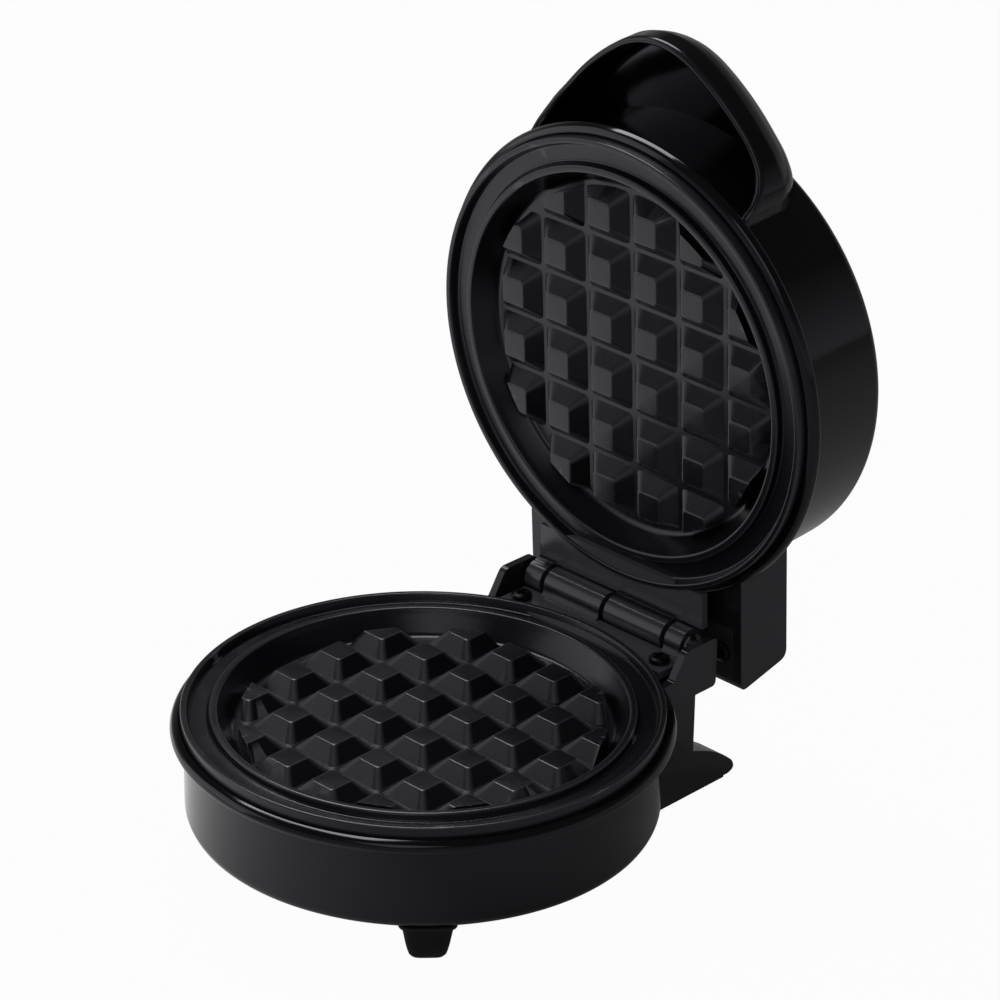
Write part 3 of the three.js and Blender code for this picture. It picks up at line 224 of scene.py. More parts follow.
NOISE_LOW, NOISE_HIGH = 0.3, 0.7      # the range that the noise mostly keeps to
# between these, convex edges are painted paler: a painted edge highlight, partly wear
SHEEN_AND_WEAR_FROM, SHEEN_AND_WEAR_TO = 0.508, 0.55      # pointiness: 0.5 is flat, more is convex


def softened(points, radii, steps=6, closed=True):
    """Each corner becomes a quadratic curve that starts and ends one radius away from it along its edges,
    a radius being at most MAX_SHARE of the shorter edge: p(t) = (1-t)^2 a + 2t(1-t) corner + t^2 b."""
    p = np.array(points, float)
    r = np.broadcast_to(np.array(radii, float), len(p)).copy()
    before, after = np.roll(p, 1, 0) - p, np.roll(p, -1, 0) - p
    if not closed:
        r[0] = r[-1] = 0
        before[0], after[-1] = after[0], before[-1]
    lb, la = np.linalg.norm(before, axis=1), np.linalg.norm(after, axis=1)
    cut = np.minimum(r, MAX_SHARE * np.minimum(lb, la))
    a, b = p + before * (cut / lb)[:, None], p + after * (cut / la)[:, None]
    t = np.linspace(0, 1, steps)[None, :, None]
    arcs = (1 - t) ** 2 * a[:, None] + 2 * t * (1 - t) * p[:, None] + t ** 2 * b[:, None]
    keep = [arc if c > 0 else arc[:1] for arc, c in zip(arcs, cut)]
    return np.concatenate(keep)


def woven(grid, wrap_rows=True, wrap_columns=False):
    """Points and faces of a grid of points: face (i, j) joins rows i, i+1 and columns j, j+1."""
    rows, columns = grid.shape[:2]
    i = np.arange(rows if wrap_rows else rows - 1)[:, None]
    j = np.arange(columns if wrap_columns else columns - 1)[None, :]
    i2, j2 = (i + 1) % rows, (j + 1) % columns
    quads = np.stack([i * columns + j, i2 * columns + j, i2 * columns + j2, i * columns + j2], -1)
    return grid.reshape(-1, 3), quads.reshape(-1, 4).tolist()


def turned(profile, turns=240, closed=True):
    """A profile of (radius, height) carried round the vertical axis: (r cos a, r sin a, z)."""
    a = np.linspace(0, 2 * np.pi, turns, endpoint=False)[:, None]
    r, z = profile[None, :, 0], profile[None, :, 1]
    grid = np.stack([r * np.cos(a), r * np.sin(a), z + 0 * a], -1)
    return woven(grid, True, closed)


def pressed(outline, x0, x1):
    """A closed outline of (y, z) carried from x0 to x1, with a flat face at each end."""
    ends = np.array([x0, x1])[:, None]
    y, z = outline[None, :, 0], outline[None, :, 1]
    grid = np.stack([ends + 0 * y, y + 0 * ends, z + 0 * ends], -1)
    points, faces = woven(grid, False, True)
    count = len(outline)
    return points, faces + [list(range(count)), list(range(2 * count - 1, count - 1, -1))]


def joined(parts):
    """Several (points, faces) as one, the faces renumbered by the points before them."""
    start = np.cumsum([0] + [len(points) for points, _ in parts])
    faces = [[int(k) + int(s) for k in face] for s, (_, some) in zip(start, parts) for face in some]
    return np.concatenate([points for points, _ in parts]), faces


def on_base(points):
    """Millimetres about the middle of the base to metres in the part's frame."""
    return (points + np.array([0, PLAN_SHIFT, 0])) * MM


def made(name, shape, place, body, material, nodes=(), sharp=35, bevel=0.0):
    """Makes a piece: points placed, doubles merged, faces turned outwards, smooth up to an angle."""
    points, faces = shape
    mesh = bpy.data.meshes.new(name)
    mesh.from_pydata(place(points).tolist(), [], faces)
    work = bmesh.new()
    work.from_mesh(mesh)
    bmesh.ops.remove_doubles(work, verts=work.verts, dist=WELD)
    bmesh.ops.recalc_face_normals(work, faces=work.faces)
    work.to_mesh(mesh)
    work.free()
    mesh.shade_smooth()
    mesh.set_sharp_from_angle(angle=np.radians(sharp))
    mesh.materials.append(material)
    piece = bpy.data.objects.new(name, mesh)
    scene.collection.objects.link(piece)
    if bevel:
        edge = piece.modifiers.new("edge", "BEVEL")
        edge.width = bevel * MM
        edge.segments = BEVEL_STEPS
        edge.limit_method = "ANGLE"
        edge.angle_limit = np.radians(BEVEL_ANGLE)
    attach(piece, body)
    if nodes:
        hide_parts(*nodes)
    return piece


def surface_look(name, colour, colour_to, rough, rough_to, blotch_mm, grain_mm, grain_depth,
                 specular=0.5, metallic=0.0, edge=None, edge_rough=None, tint="#ffffff"):
    """A material whose colour drifts between two near tones over blotch_mm, whose roughness drifts with it,
    whose surface has a fine grain of grain_mm, and whose convex edges turn to edge: painted edge highlight,
    partly wear.
    The tint colours what its gloss mirrors."""
    look = bpy.data.materials.new(name)
    look.use_nodes = True
    tree = look.node_tree
    tree.nodes.clear()
    at = node(tree, "ShaderNodeTexCoord")
    blotch = node(tree, "ShaderNodeTexNoise", {
        "Vector": at.outputs["Object"], "Scale": 1 / (blotch_mm * MM), "Detail": 5.0, "Roughness": 0.6,
    })
    drift = node(tree, "ShaderNodeMapRange", {
        "Value": blotch.outputs["Fac"], "From Min": NOISE_LOW, "From Max": NOISE_HIGH,
    })
    tone = node(tree, "ShaderNodeMix", {
        "Factor": drift.outputs[0], "A": linear(colour), "B": linear(colour_to),
    }, data_type="RGBA")
    shine = node(tree, "ShaderNodeMapRange", {
        "Value": blotch.outputs["Fac"], "From Min": NOISE_LOW, "From Max": NOISE_HIGH,
        "To Min": rough, "To Max": rough_to,
    })
    grain = node(tree, "ShaderNodeTexNoise", {
        "Vector": at.outputs["Object"], "Scale": 1 / (grain_mm * MM), "Detail": 3.0, "Roughness": 0.55,
    })
    relief = node(tree, "ShaderNodeBump", {
        "Height": grain.outputs["Fac"], "Strength": 1.0, "Distance": grain_depth * MM,
    })
    colour_out, rough_out = tone.outputs["Result"], shine.outputs[0]
    # painted edge highlight, partly wear: convex edges turn towards the edge colour
    if edge:
        form = node(tree, "ShaderNodeNewGeometry")
        sheen_and_wear = node(tree, "ShaderNodeMapRange", {
            "Value": form.outputs["Pointiness"], "From Min": SHEEN_AND_WEAR_FROM, "From Max": SHEEN_AND_WEAR_TO,
        })
        colour_out = node(tree, "ShaderNodeMix", {
            "Factor": sheen_and_wear.outputs[0], "A": colour_out, "B": linear(edge),
        }, data_type="RGBA").outputs["Result"]
        rough_out = node(tree, "ShaderNodeMix", {
            "Factor": sheen_and_wear.outputs[0], "A": rough_out, "B": edge_rough,
        }, data_type="FLOAT").outputs[0]
    body = node(tree, "ShaderNodeBsdfPrincipled", {
        "Base Color": colour_out, "Roughness": rough_out, "Normal": relief.outputs[0],
        "Specular IOR Level": specular, "Metallic": metallic, "Specular Tint": linear(tint),
    })
    node(tree, "ShaderNodeOutputMaterial", {"Surface": body.outputs[0]})
    return look


# ABS moulded in a polished tool: deep black with a clear gloss that ripples very slightly on the large faces
gloss_abs = surface_look("gloss_moulded_abs", "#070708", "#0d0d0f", 0.07, 0.13, 22, 9, 0.012,
                         edge="#202023", edge_rough=0.25, tint="#f4f1ff")

base_profile = softened(
    [(55.8, BASE_FLOOR), (60.9, BASE_FLOOR), (WALL_RADIUS, 13.6), (WALL_RADIUS, 35.2), (65.0, 35.2),
     (RIM_RADIUS, 36.0), (64.7, 37.6), (63.2, BASE_RIM), (RIM_OPENING, BASE_RIM), (RIM_OPENING, 37.1),
     (WALL_INNER, 37.1), (WALL_INNER, 16.5), (48.5, 16.5), (48.5, 14.1), (55.8, 14.1)],
    [0.3, 1.2, 1.6, 0.5, 0.35, 0.6, 0.8, 0.3, 0.15, 0.2, 0.2, 0.5, 0.3, 0.3, 0.3],
)
tub_points, tub_faces = turned(base_profile)
# between the cheeks the tub's wall is lowered to the floor of the bay
in_bay = (np.abs(tub_points[:, 0]) < BAY_HALF - CHEEK / 2) & (tub_points[:, 1] > 0)
tub_points[:, 2] = np.where(in_bay, np.minimum(tub_points[:, 2], BAY_FLOOR + WALL / 2), tub_points[:, 2])

cheek_outline = softened(
    [(SHELL_FRONT, BAY_FLOOR), (BAY_REAR, BAY_FLOOR), (BAY_REAR, CHEEK_TOP), (62.9, CHEEK_TOP),
     (58.2, BASE_RIM - 0.1), (SHELL_FRONT, BASE_RIM - 0.6)],
    [0.2, 1.6, 1.8, 1.6, 0.8, 0.2],
)
bay_outline = softened(
    [(SHELL_FRONT, BAY_FLOOR + HAIR), (BAY_REAR - HAIR, BAY_FLOOR + HAIR), (BAY_REAR - HAIR, 37.2),
     (72.55, 37.2), (72.55, BAY_FLOOR + WALL), (SHELL_FRONT, BAY_FLOOR + WALL)],
    [0.2, 1.6, 0.4, 0.4, 0.6, 0.2],
)
column_outline = softened(
    [(50.0, BASE_FLOOR + HAIR), (COLUMN_REAR, BASE_FLOOR + HAIR), (COLUMN_REAR, 32.5), (50.0, 32.5)],
    [0.2, 1.6, 0.4, 0.2],
)
heel_outline = softened(
    [(48.0, BASE_FLOOR), (49.4, 1.5), (82.0, 1.5), (83.95, 2.6), (83.2, 4.9), (79.2, 8.3), (74.0, 11.4),
     (69.2, 13.3), (66.0, 14.6), (49.0, 14.0)],
    [0.3, 1.6, 1.0, 1.2, 1.6, 2.4, 2.4, 2.4, 0.5, 0.3],
)
base_parts = [(tub_points, tub_faces), pressed(bay_outline, -BAY_HALF + BAY_INSET, BAY_HALF - BAY_INSET),
              pressed(column_outline, -BAY_HALF + HAIR, BAY_HALF - HAIR)]
for side in (-1, 1):
    base_parts.append(pressed(cheek_outline, side * (BAY_HALF - CHEEK), side * BAY_HALF))
    base_parts.append(pressed(heel_outline, side * (BAY_HALF - HEEL_WIDTH), side * (BAY_HALF - 0.05)))
made("base_casing", joined(base_parts), on_base, "base", gloss_abs, ["base_housing"],
     bevel=0.35)

# BOTTOM COVER, ITS SCREWS, FEET AND PADS
# The underside is closed by a matt disc held by three screws. Two tapered rubber feet are plugged in at the
# front and a thin pad is glued under each heel.
HEAD_RADIUS = 2.8
HEAD_HEIGHT = 1.7
HEAD_TURNS = 96
HEAD_RINGS = 40
DOME_SHARE = 0.97         # the domed top's share of the head's radius
SLOT_HALF = 0.42
SLOT_SOFTNESS = 0.18      # across this width a wall of the recess falls
SLOT_DEPTH_SHARE = 0.75
SHANK_RADIUS = 1.5
SHANK_LENGTH = 3.6
COVER_SCREWS = 3
COVER_RECESS = 1.8
FOOT_AT = 53.9            # from the middle of the base
FOOT_ANGLE = 46.6         # from the front, in degrees
FOOT_HEIGHT = 11.5
FOOT_ACROSS = 13.8        # at the top, along the edge of the base
FOOT_INWARD = 12.8        # at the top, towards the middle of the base
ACROSS_TAPER = 2.1        # what each side has lost at the bottom
INWARD_TAPER = 2.0
FOOT_POWER = 4.5
FOOT_TURNS = 96

# Fine-textured ABS, spark-eroded in the tool: an even dull black that breaks up reflections
matt_abs = surface_look("textured_moulded_abs", "#161617", "#1d1d1f", 0.55, 0.68, 15, 0.5, 0.02, specular=0.4)
# Moulded rubber: near black, dull, with a bloom that lightens it in patches
moulded_rubber = surface_look("moulded_rubber", "#0c0c0c", "#171716", 0.6, 0.8, 6, 0.4, 0.02, specular=0.3,
                              edge="#222221", edge_rough=0.75)
# Zinc-plated steel: a bright cool metal, a little dulled, with the fine speckle of its plating
zinc_steel = surface_look("zinc_plated_steel", "#b9bcc0", "#8f9298", 0.28, 0.42, 1.2, 0.15, 0.004,
                          metallic=1.0)


def refinished(look, *names):
    """A CAD node whose shape is right keeps it and takes a better material in each of its slots."""
    for name in names:
        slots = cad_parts[name].data.materials
        for index in range(len(slots)):
            slots[index] = look
        if not len(slots):
            slots.append(look)


def screw_head(radius, height, cross, reach):
    """A pan head with a cross recess, on its shank: z = height (1 - 0.4 (r/R)^3) minus a groove where
    either |x| or |y| is small and the other is less than the cross; then the rim, underside and shank."""
    a = np.linspace(0, 2 * np.pi, HEAD_TURNS, endpoint=False)[:, None]
    r = np.linspace(0, 1, HEAD_RINGS)[None, :] * radius * DOME_SHARE
    x, y = r * np.cos(a), r * np.sin(a)
    step = lambda v, edge: np.clip((edge - np.abs(v)) / SLOT_SOFTNESS + 0.5, 0, 1)
    groove = np.maximum(step(x, SLOT_HALF) * step(y, cross), step(y, SLOT_HALF) * step(x, cross))
    z = height * (1 - 0.4 * (r / radius) ** 3) - SLOT_DEPTH_SHARE * height * groove
    top = np.stack([x, y, z + 0 * a], -1)
    r2 = np.array([radius, radius, SHANK_RADIUS + 0.1, SHANK_RADIUS, SHANK_RADIUS, 0.0])[None, :]
    z2 = np.array([height * 0.45, 0.0, 0.0, -0.2, -reach, -reach])[None, :]
    rest = np.stack([r2 * np.cos(a), r2 * np.sin(a), z2 + 0 * a], -1)
    return woven(np.concatenate([top, rest], axis=1), True, False)


def turned_over(points):
    """Head down: y and z change sign."""
    return points * np.array([1, -1, -1])


head = screw_head(HEAD_RADIUS, HEAD_HEIGHT, cross=1.7, reach=SHANK_LENGTH)
for index in range(COVER_SCREWS):
    # the heads stand in recesses of the bottom cover
    low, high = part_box(f"cover_screw_{index + 1}")
    spot = np.array([(low[0] + high[0]) / 2, (low[1] + high[1]) / 2, low[2]]) / MM
    spot = spot + np.array([0, 0, COVER_RECESS])
    made(f"cover_screw_head_{index + 1}", (turned_over(head[0]) + spot, head[1]), lambda p: p * MM, "base",
         zinc_steel, [f"cover_screw_{index + 1}"])

# heights of a foot's rings, and how far each lies inside the tapered side: a rounded sole, a straight
# flank and a small shoulder under the cover
level_z = np.array([0.0, 0.25, 0.8, 1.6, 2.6, 4.5, 7.0, 9.4, 10.3, 10.5, 11.5])
level_in = np.array([2.6, 1.7, 0.75, 0.25, 0.1, 0.0, 0.0, 0.0, -0.1, -0.85, -0.9])
around = np.linspace(0, 2 * np.pi, FOOT_TURNS, endpoint=False)[:, None]
to_go = 1 - level_z / FOOT_HEIGHT
half_across = (FOOT_ACROSS / 2 - ACROSS_TAPER * to_go) - level_in
half_inward = (FOOT_INWARD / 2 - INWARD_TAPER * to_go) - level_in
# a rounded square: |x/a|^4.5 + |y/b|^4.5 = 1, its size given by the height
bend = (np.abs(np.cos(around)) ** FOOT_POWER + np.abs(np.sin(around)) ** FOOT_POWER) ** (-1 / FOOT_POWER)
foot_x = FOOT_AT + bend * np.cos(around) * half_inward[None, :]
foot_y = bend * np.sin(around) * half_across[None, :]
foot_grid = np.stack([foot_x, foot_y, level_z[None, :] + 0 * around], -1)
low_cap = np.stack([FOOT_AT + 0 * around, 0 * around, 0 * around], -1)
top_cap = np.stack([FOOT_AT + 0 * around, 0 * around, FOOT_HEIGHT + 0 * around], -1)
foot_grid = np.concatenate([low_cap, foot_grid, top_cap], axis=1)
for side, name in ((-1, "left"), (1, "right")):
    turn = np.radians(-90 + side * FOOT_ANGLE)
    spin = np.array([[np.cos(turn), np.sin(turn), 0], [-np.sin(turn), np.cos(turn), 0], [0, 0, 1]])
    made(f"rubber_foot_{name}", woven(foot_grid @ spin), on_base, "base", moulded_rubber,
         [f"front_foot_{name}"], sharp=50)

refinished(matt_abs, "bottom_cover")
refinished(moulded_rubber, "heel_pad_left", "heel_pad_right")

# CORD OUTLET
# A rubber gland sits in the back of the column, and inside the column a moulded clamp bar with two screws
# stands ready. The gland is the softer and duller of the two.
refinished(moulded_rubber, "cord_gland")
refinished(matt_abs, "cord_clamp")
refinished(zinc_steel, "clamp_screw_1", "clamp_screw_2")

# LOWER PLATE
# A die casting under a satin black non-stick coating: an outer crest, a gutter, an inner lip, a floor with
# blunt pyramids on a 16 mm grid, and at the rear a deck that ends in two hinge knuckles.
PARTING = 42.4
PLATE_RADIUS = 62.5
GRID = 16
GRID_LAST = 40            # the outermost row, from the middle
TOOTH_BASE = 7.45         # half widths of a tooth at its foot and at its top
TOOTH_TOP = 3.75
TOOTH_HEIGHT = 3.8
TOOTH_POWER = 14
TOOTH_TURNS = 64
FLOOR_DEPTH = 8.2
GRID_EDGE = 47.7
KNUCKLE = 4.3
KNUCKLE_SHIFT = -1.2
KNUCKLE_STEPS = 40
DECK_HALF = 29.4
DECK_ROOT = 57.5
DECK_FRONT = 67.85
DECK_FACE = 39.53
DECK_BACK = 37.43
DECK_SCREW_X = 25.2
DECK_SCREW_Y = 62.15
DECK_SCREW_Z = 39.83

# heights are depths from the plane where the plates meet
plate_profile = softened(
    [(0, 11.2), (51.5, 11.2), (57.9, 6.2), (59.1, 5.0), (PLATE_RADIUS, 5.0), (PLATE_RADIUS, 1.3),
     (61.0, 1.3), (60.2, 3.7), (55.6, 3.7), (55.0, 1.6), (53.2, 1.6), (52.4, 3.2), (49.3, FLOOR_DEPTH),
     (0, FLOOR_DEPTH)],
    [0, 1.0, 0.5, 0.3, 0.3, 0.45, 0.45, 0.6, 0.6, 0.55, 0.55, 0.8, 1.2, 0], closed=False,
)


def pyramids():
    """Blunt pyramids on a square grid. Rings of a rounded square, |x/h|^14 + |y/h|^14 = 1, rise from the
    root to the top and close at their mean; a point past the edge circle is drawn in to it."""
    row = np.arange(-GRID_LAST, GRID_LAST + 1, GRID, dtype=float)
    cx, cy = [c.ravel() for c in np.meshgrid(row, row)]
    corner = (np.abs(cx) == GRID_LAST) & (np.abs(cy) == GRID_LAST)
    cx, cy = cx[~corner, None, None], cy[~corner, None, None]
    # each ring's size and height: the sunk root, the foot of the flank, and four that round the top edge
    half = np.array([TOOTH_BASE + 0.4, TOOTH_BASE,
                     TOOTH_TOP + 0.25, TOOTH_TOP + 0.08, TOOTH_TOP - 0.1, TOOTH_TOP - 0.4])
    rise = np.array([-0.4, 0.0,
                     TOOTH_HEIGHT - 0.28, TOOTH_HEIGHT - 0.1, TOOTH_HEIGHT - 0.02, TOOTH_HEIGHT])
    a = np.linspace(0, 2 * np.pi, TOOTH_TURNS, endpoint=False)[None, :, None]
    square = (np.abs(np.cos(a)) ** TOOTH_POWER + np.abs(np.sin(a)) ** TOOTH_POWER) ** (-1 / TOOTH_POWER)
    x = cx + square * np.cos(a) * half
    y = cy + square * np.sin(a) * half
    r = np.hypot(x, y)
    draw = np.minimum(1, GRID_EDGE / r)
    x, y = x * draw, y * draw
    z = np.broadcast_to(rise, x.shape)
    low, top = [np.stack([x[:, :, k].mean(1), y[:, :, k].mean(1), z[:, 0, k]], -1) for k in (0, -1)]
    grid = np.stack([x, y, z], -1)
    low = np.broadcast_to(low[:, None, None], grid[:, :, :1].shape)
    top = np.broadcast_to(top[:, None, None], grid[:, :, :1].shape)
    return joined([woven(g) for g in np.concatenate([low, grid, top], axis=2)])


def hinge_outline(front):
    """Side view of a knuckle and its skirt: the deck's underside, then (y, z) = hinge + KNUCKLE
    (cos a, sin a) for a from -90 to 176 degrees, and down to the deck's face."""
    a = np.radians(np.linspace(-90, 176, KNUCKLE_STEPS))
    curve = np.stack([HINGE_Y + KNUCKLE * np.cos(a), HINGE_Z + KNUCKLE * np.sin(a)], -1)
    foot = [(DECK_FRONT - 0.3, DECK_FACE + 0.9), (DECK_FRONT - 1.2, DECK_FACE - 0.02),
            (front, DECK_FACE - 0.02)]
    return np.concatenate([[(front, DECK_BACK + 0.02), (HINGE_Y, DECK_BACK + 0.05)], curve[1:], foot])


def plate_parts(side):
    """The casting of one side: side -1 has its long knuckle towards -X and +1 towards +X. It's made with
    its face towards -Z, flipped into place, and its deck and knuckles are mirrored about the hinge."""
    end, short, space = 28.4, 5.6, 1.6
    long = end - short - 1.5 * space
    spans = [(KNUCKLE_SHIFT + side * space / 2, KNUCKLE_SHIFT + side * (space / 2 + long)),
             (KNUCKLE_SHIFT - side * (1.5 * space + long), KNUCKLE_SHIFT - side * end)]
    flip = lambda p: np.stack([p[:, 0], p[:, 1], PARTING + p[:, 2] if side > 0 else PARTING - p[:, 2]], -1)
    mirror = lambda o: np.stack([o[:, 0], 2 * HINGE_Z - o[:, 1]], -1) if side > 0 else o
    dish_points, dish_faces = turned(plate_profile, closed=False)
    tooth_points, tooth_faces = pyramids()
    tooth_points = tooth_points * np.array([1, 1, -1]) + np.array([0, 0, FLOOR_DEPTH])
    deck = np.array([(DECK_ROOT, DECK_BACK), (DECK_FRONT, DECK_BACK), (DECK_FRONT, DECK_FACE),
                     (DECK_ROOT, DECK_FACE)])
    parts = [(flip(dish_points), dish_faces), (flip(tooth_points), tooth_faces),
             pressed(mirror(deck), -DECK_HALF, DECK_HALF)]
    return parts + [pressed(mirror(hinge_outline(DECK_FRONT - 3)), min(span), max(span)) for span in spans]


# Aluminium casting with a baked fluoropolymer coat: near black with a faint blue, satin, with an orange
# peel of about 0.8 mm, and paler over edges: mostly a painted edge highlight, partly where the coat is thin
coated_aluminium = surface_look("coated_cast_aluminium", "#0c0c10", "#08080b", 0.22, 0.3, 14, 0.8, 0.01,
                                specular=0.55, edge="#505058", edge_rough=0.2, tint="#f4f1ff")
made("lower_casting", joined(plate_parts(-1)), on_base, "base", coated_aluminium,
     ["lower_plate"], sharp=40, bevel=0.3)
refinished(zinc_steel, "lower_plate_screw_1", "lower_plate_screw_2", "lower_plate_screw_3")

# Blackened steel, for the screws that can be seen: dark metal that glints where it turns to the light
black_steel = surface_look("blackened_steel", "#3a3a3c", "#2a2a2c", 0.3, 0.42, 1.2, 0.15, 0.004,
                           metallic=1.0)
for index, across in enumerate((-DECK_SCREW_X, DECK_SCREW_X)):
    spot = np.array([across, DECK_SCREW_Y, DECK_SCREW_Z])
    made(f"deck_screw_head_{index + 1}", (head[0] + spot, head[1]), on_base, "base", black_steel,
         [f"deck_screw_{index + 1}"])

# HINGE PIN AND ITS CLIP
# A plated steel pin, headed at the left, runs through all the knuckles and is held at the right by a clip
# of spring steel pushed into its groove.
refinished(zinc_steel, "hinge_pin", "pin_clip")

# HEATING PARTS AND WIRING
# Behind each casting lies a bent tubular element with a sheet shield. The base also holds a thermostat on
# a strap, a thermal fuse, a ceramic terminal block and leads in glass-fibre sleeve, and the lid two leads.
# Element sheath: steel browned by heat in bands
heated_sheath = surface_look("heat_tinted_sheath", "#6b5f57", "#4b4446", 0.4, 0.55, 5, 0.3, 0.01,
                             metallic=1.0)
# Rolled aluminium sheet: pale, with soft rolling grain
rolled_aluminium = surface_look("rolled_aluminium", "#cfcfcd", "#b3b4b4", 0.3, 0.42, 2.5, 0.2, 0.004,
                                metallic=1.0)
# Steatite: unglazed off-white ceramic with faint specks
steatite = surface_look("steatite_ceramic", "#e0d9cc", "#cdc4b4", 0.5, 0.65, 1.5, 0.3, 0.02)
# Braided glass-fibre sleeve: cream, dull, with a weave about 0.6 mm wide
glass_sleeve = surface_look("glass_fibre_sleeve", "#d8d0bd", "#b9ae98", 0.75, 0.9, 0.6, 0.3, 0.05)
refinished(heated_sheath, "lower_heating_element", "upper_heating_element")
refinished(rolled_aluminium, "lower_heat_shield", "upper_heat_shield", "thermostat_strap")
refinished(steatite, "thermostat", "terminal_block")
refinished(glass_sleeve, "thermal_fuse", "lead_block_to_fuse", "lead_fuse_to_thermostat",
           "lead_block_to_element", "lead_element_to_block", "hinge_lead_base", "hinge_lead_lid",
           "lead_element_to_lamps")
refinished(zinc_steel, "lower_shield_screw_1", "lower_shield_screw_2", "thermostat_screw_1",
           "thermostat_screw_2", "upper_shield_screw_1", "upper_shield_screw_2", "upper_plate_screw_1",
           "upper_plate_screw_2", "upper_plate_screw_3")

# UPPER PLATE
# The same casting the other way up, its knuckles set between those of the lower plate. It and the rest
# of the lid are made shut, in the same coordinates as the base, and turned back about the hinge.
OPEN = np.radians(86.5)


def on_lid(points):
    """Millimetres of the shut lid, turned back about the hinge line by the open angle, in metres."""
    y, z = points[:, 1] - HINGE_Y, points[:, 2] - HINGE_Z
    c, s = np.cos(OPEN), np.sin(OPEN)
    turned_back = np.stack([points[:, 0], HINGE_Y + y * c + z * s, HINGE_Z - y * s + z * c], -1)
    return on_base(turned_back)


made("upper_casting", joined(plate_parts(1)), on_lid, "lid", coated_aluminium,
     ["upper_plate"], sharp=40, bevel=0.3)

# LID HOUSING
# The upper casing: one moulding in the same gloss black ABS, with the rim bead, a scooped hood at the front
# that is the handle, and at the rear the square block that carries the lid past the hinge.
LID_RIM = 46.6
LID_TOP = 77.5
BLOCK_HALF = 38.2
BLOCK_UNDER = 49.6
BLOCK_TOP = 68.0
BLOCK_REAR = 86.35
HOOD_START = 50.0         # from the middle of the lid; the reach is counted from here
HOOD_HALF = 38.7
HOOD_REACH = 36.4
HOOD_WALL = 2.2
HOOD_SKIRT = 19.6         # this and the next two are heights above the lid's rim
HOOD_LIP = 14.8
HOOD_ROOT = 5.6
CROWN_DROP = 0.12
CEILING_DROP = 4.9
PLAN_STEPS = 161
EDGE_STEPS = 200
CROWN_STEPS = 14
SKIRT_STEPS = 10
BEAD_STEPS = 7

lid_profile = softened(
    [(54.3, LID_TOP), (60.6, LID_TOP), (WALL_RADIUS, LID_TOP - 1.8), (WALL_RADIUS, LID_RIM + 3.0),
     (65.0, LID_RIM + 3.0), (RIM_RADIUS, LID_RIM + 2.2), (64.7, LID_RIM + 0.6), (63.2, LID_RIM),
     (RIM_OPENING, LID_RIM), (RIM_OPENING, LID_RIM + 1.1), (WALL_INNER, LID_RIM + 1.1), (WALL_INNER, 72.8),
     (51.0, 72.8), (51.0, 75.2), (54.3, 75.2)],
    [0.3, 1.2, 1.6, 0.5, 0.35, 0.6, 0.8, 0.3, 0.15, 0.2, 0.2, 0.5, 0.3, 0.3, 0.3],
)
lid_tub = turned(lid_profile)

block_outline = softened(
    [(50.0, BLOCK_UNDER), (BLOCK_REAR, BLOCK_UNDER), (BLOCK_REAR - 3.2, BLOCK_TOP), (50.0, BLOCK_TOP)],
    [0.2, 2.6, 2.6, 0.2],
)


def smooth_through(points, count):
    """A smooth curve through points, evenly sampled along the chord: between two points with slopes m and n
    a chord h apart it is (2u^3-3u^2+1) p + (u^3-2u^2+u) h m + (3u^2-2u^3) q + (u^3-u^2) h n."""
    p = np.array(points, float)
    chord = np.concatenate([[0], np.cumsum(np.linalg.norm(np.diff(p, axis=0), axis=1))])
    slope = np.gradient(p, chord, axis=0)
    t = np.linspace(0, chord[-1], count)
    k = np.clip(np.searchsorted(chord, t, side="right") - 1, 0, len(p) - 2)
    h = (chord[k + 1] - chord[k])[:, None]
    u = ((t - chord[k])[:, None]) / h
    return ((2 * u ** 3 - 3 * u ** 2 + 1) * p[k] + (u ** 3 - 2 * u ** 2 + u) * h * slope[k]
            + (3 * u ** 2 - 2 * u ** 3) * p[k + 1] + (u ** 3 - u ** 2) * h * slope[k + 1])


# seen from above: shares of the hood's half width and of its reach, from the right round to the left
hood_right = [(0.975, -0.2), (0.989, 0.0), (1.0, 0.114), (0.945, 0.269), (0.815, 0.451), (0.655, 0.634),
              (0.53, 0.75), (0.41, 0.845), (0.26, 0.94), (0.13, 0.985), (0.0, 1.0)]
hood_plan = smooth_through(hood_right + [(-x, v) for x, v in reversed(hood_right[:-1])], PLAN_STEPS)
# the lower edge: at each share of the reach, how far it has risen from the root to the lip
hood_edge = smooth_through([(-0.3, 0.0), (0.0, 0.0), (0.044, 0.12), (0.11, 0.38), (0.198, 0.66),
                            (0.308, 0.88), (0.44, 1.0), (0.7, 1.0), (1.05, 1.0)], EDGE_STEPS)
# from the skirt to the top: at each share of that rise, the share of the plan that is left
hood_crown = smooth_through([(0.0, 1.0), (0.35, 0.96), (0.66, 0.895), (0.88, 0.81), (1.0, 0.68)], CROWN_STEPS)
hood_ceiling = smooth_through([(0.0, 1.0), (0.5, 0.99), (0.85, 0.975), (0.97, 0.96), (1.0, 0.92)],
                              CROWN_STEPS)


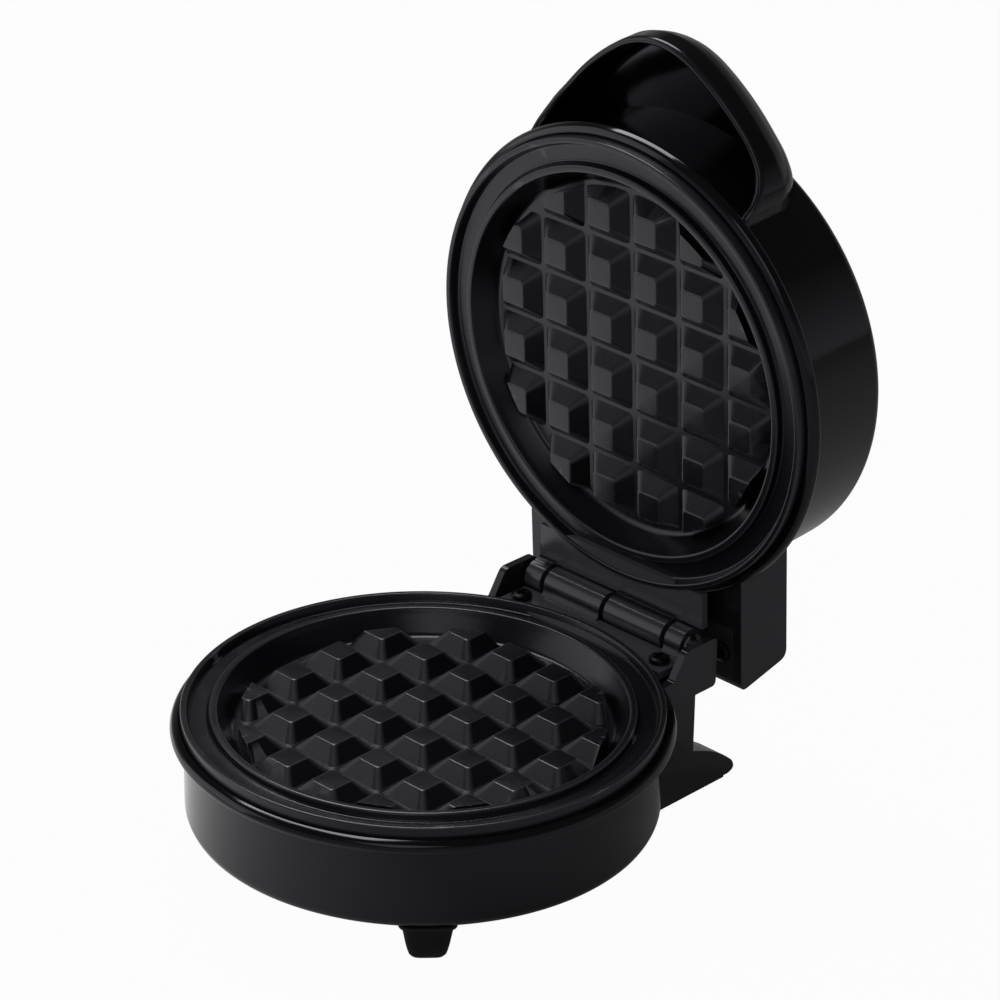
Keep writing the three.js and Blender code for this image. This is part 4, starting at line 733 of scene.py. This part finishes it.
def hood_face(inset, crown, top):
    """One face of the hood: (x, v) of the plan stands up from its lower edge to the skirt, then shrinks to
    crown share times (x, v) on the way to the top, and ends in a point above the hood's start."""
    half, reach = HOOD_HALF - inset, HOOD_REACH - inset
    x, v = hood_plan[:, 0] * half, hood_plan[:, 1] * reach
    risen = np.interp(hood_plan[:, 1], hood_edge[:, 0], hood_edge[:, 1])
    low = LID_RIM + HOOD_ROOT + (HOOD_LIP - HOOD_ROOT) * risen
    skirt = LID_RIM + HOOD_SKIRT - inset
    up = np.linspace(0, 1, SKIRT_STEPS)[None, :]
    stand = np.stack([x[:, None] + 0 * up, -(HOOD_START + v[:, None]) + 0 * up,
                      low[:, None] + (skirt - low[:, None]) * up], -1)
    scale = crown[None, 1:, 1]
    rise = skirt + (top - skirt) * crown[None, 1:, 0]
    close = np.stack([x[:, None] * scale, -(HOOD_START + v[:, None] * scale), rise + 0 * x[:, None]], -1)
    tip = np.stack([0 * x[:, None], -HOOD_START + 0 * x[:, None], rise[:, -1:] + 0 * x[:, None]], -1)
    return np.concatenate([stand, close, tip], axis=1)


# the crown ends a hair under the lid's top, so that the two never share a plane, and the ceiling is flat
outer = hood_face(0.0, hood_crown, LID_TOP - CROWN_DROP)
inner = hood_face(HOOD_WALL, hood_ceiling, LID_TOP - CEILING_DROP)
# the lower edge is rounded over: the two faces meet in a half circle across the wall
bead = np.linspace(0, np.pi, BEAD_STEPS)[1:-1][None, :, None]
middle, across = (outer[:, :1] + inner[:, :1]) / 2, (inner[:, :1] - outer[:, :1]) / 2
lip = middle - across * np.cos(bead) - np.array([0, 0, 1.0]) * np.sin(bead) * HOOD_WALL / 2
hood = woven(np.concatenate([inner[:, ::-1], lip[:, ::-1], outer], axis=1), False, False)

lid_parts = [lid_tub, hood, pressed(block_outline, -BLOCK_HALF, BLOCK_HALF)]
made("lid_casing", joined(lid_parts), on_lid, "lid", gloss_abs, ["lid_housing"], bevel=0.9)

# TOP COVER AND LAMPS
# A gloss black disc is snapped into the top of the lid, with a red and a green lens over two neon lamps
# that a matt bridge holds.
LENS_CLEARNESS = 0.5


def lens_look(name, colour):
    """Tinted acrylic: half the light passes, the rest is coloured body under a sharp gloss."""
    look = surface_look(name, colour, colour, 0.08, 0.14, 3, 1.0, 0.01)
    look.node_tree.nodes["Principled BSDF"].inputs["Transmission Weight"].default_value = LENS_CLEARNESS
    return look


refinished(gloss_abs, "lid_top_cover")
refinished(lens_look("red_acrylic", "#c01812"), "power_lamp_lens")
refinished(lens_look("green_acrylic", "#1c9a3a"), "ready_lamp_lens")
refinished(matt_abs, "lamp_holder")
refinished(steatite, "neon_lamp_1", "neon_lamp_2")

# HINGE COVER
# A matt plate closes the underside of the hinge block, where the lead enters the lid. Two blackened
# screws hold it, with their heads in view once the lid stands open.
HINGE_COVER_HALF = 35.5
HINGE_COVER_SCREW_X = 31.6
HINGE_COVER_SCREW_Y = 75.8
HINGE_COVER_SCREW_Z = 49.55

cover_outline = softened([(68.0, 49.45), (83.2, 49.45), (83.2, 52.4), (68.0, 52.4)], 0.5)
made("hinge_cover_plate", pressed(cover_outline, -HINGE_COVER_HALF, HINGE_COVER_HALF), on_lid, "lid",
     matt_abs, ["hinge_cover"], bevel=0.4)
for index, across in enumerate((-HINGE_COVER_SCREW_X, HINGE_COVER_SCREW_X)):
    spot = np.array([across, HINGE_COVER_SCREW_Y, HINGE_COVER_SCREW_Z])
    made(f"hinge_cover_screw_head_{index + 1}", (turned_over(head[0]) + spot, head[1]), on_lid, "lid",
         black_steel, [f"hinge_cover_screw_{index + 1}"])
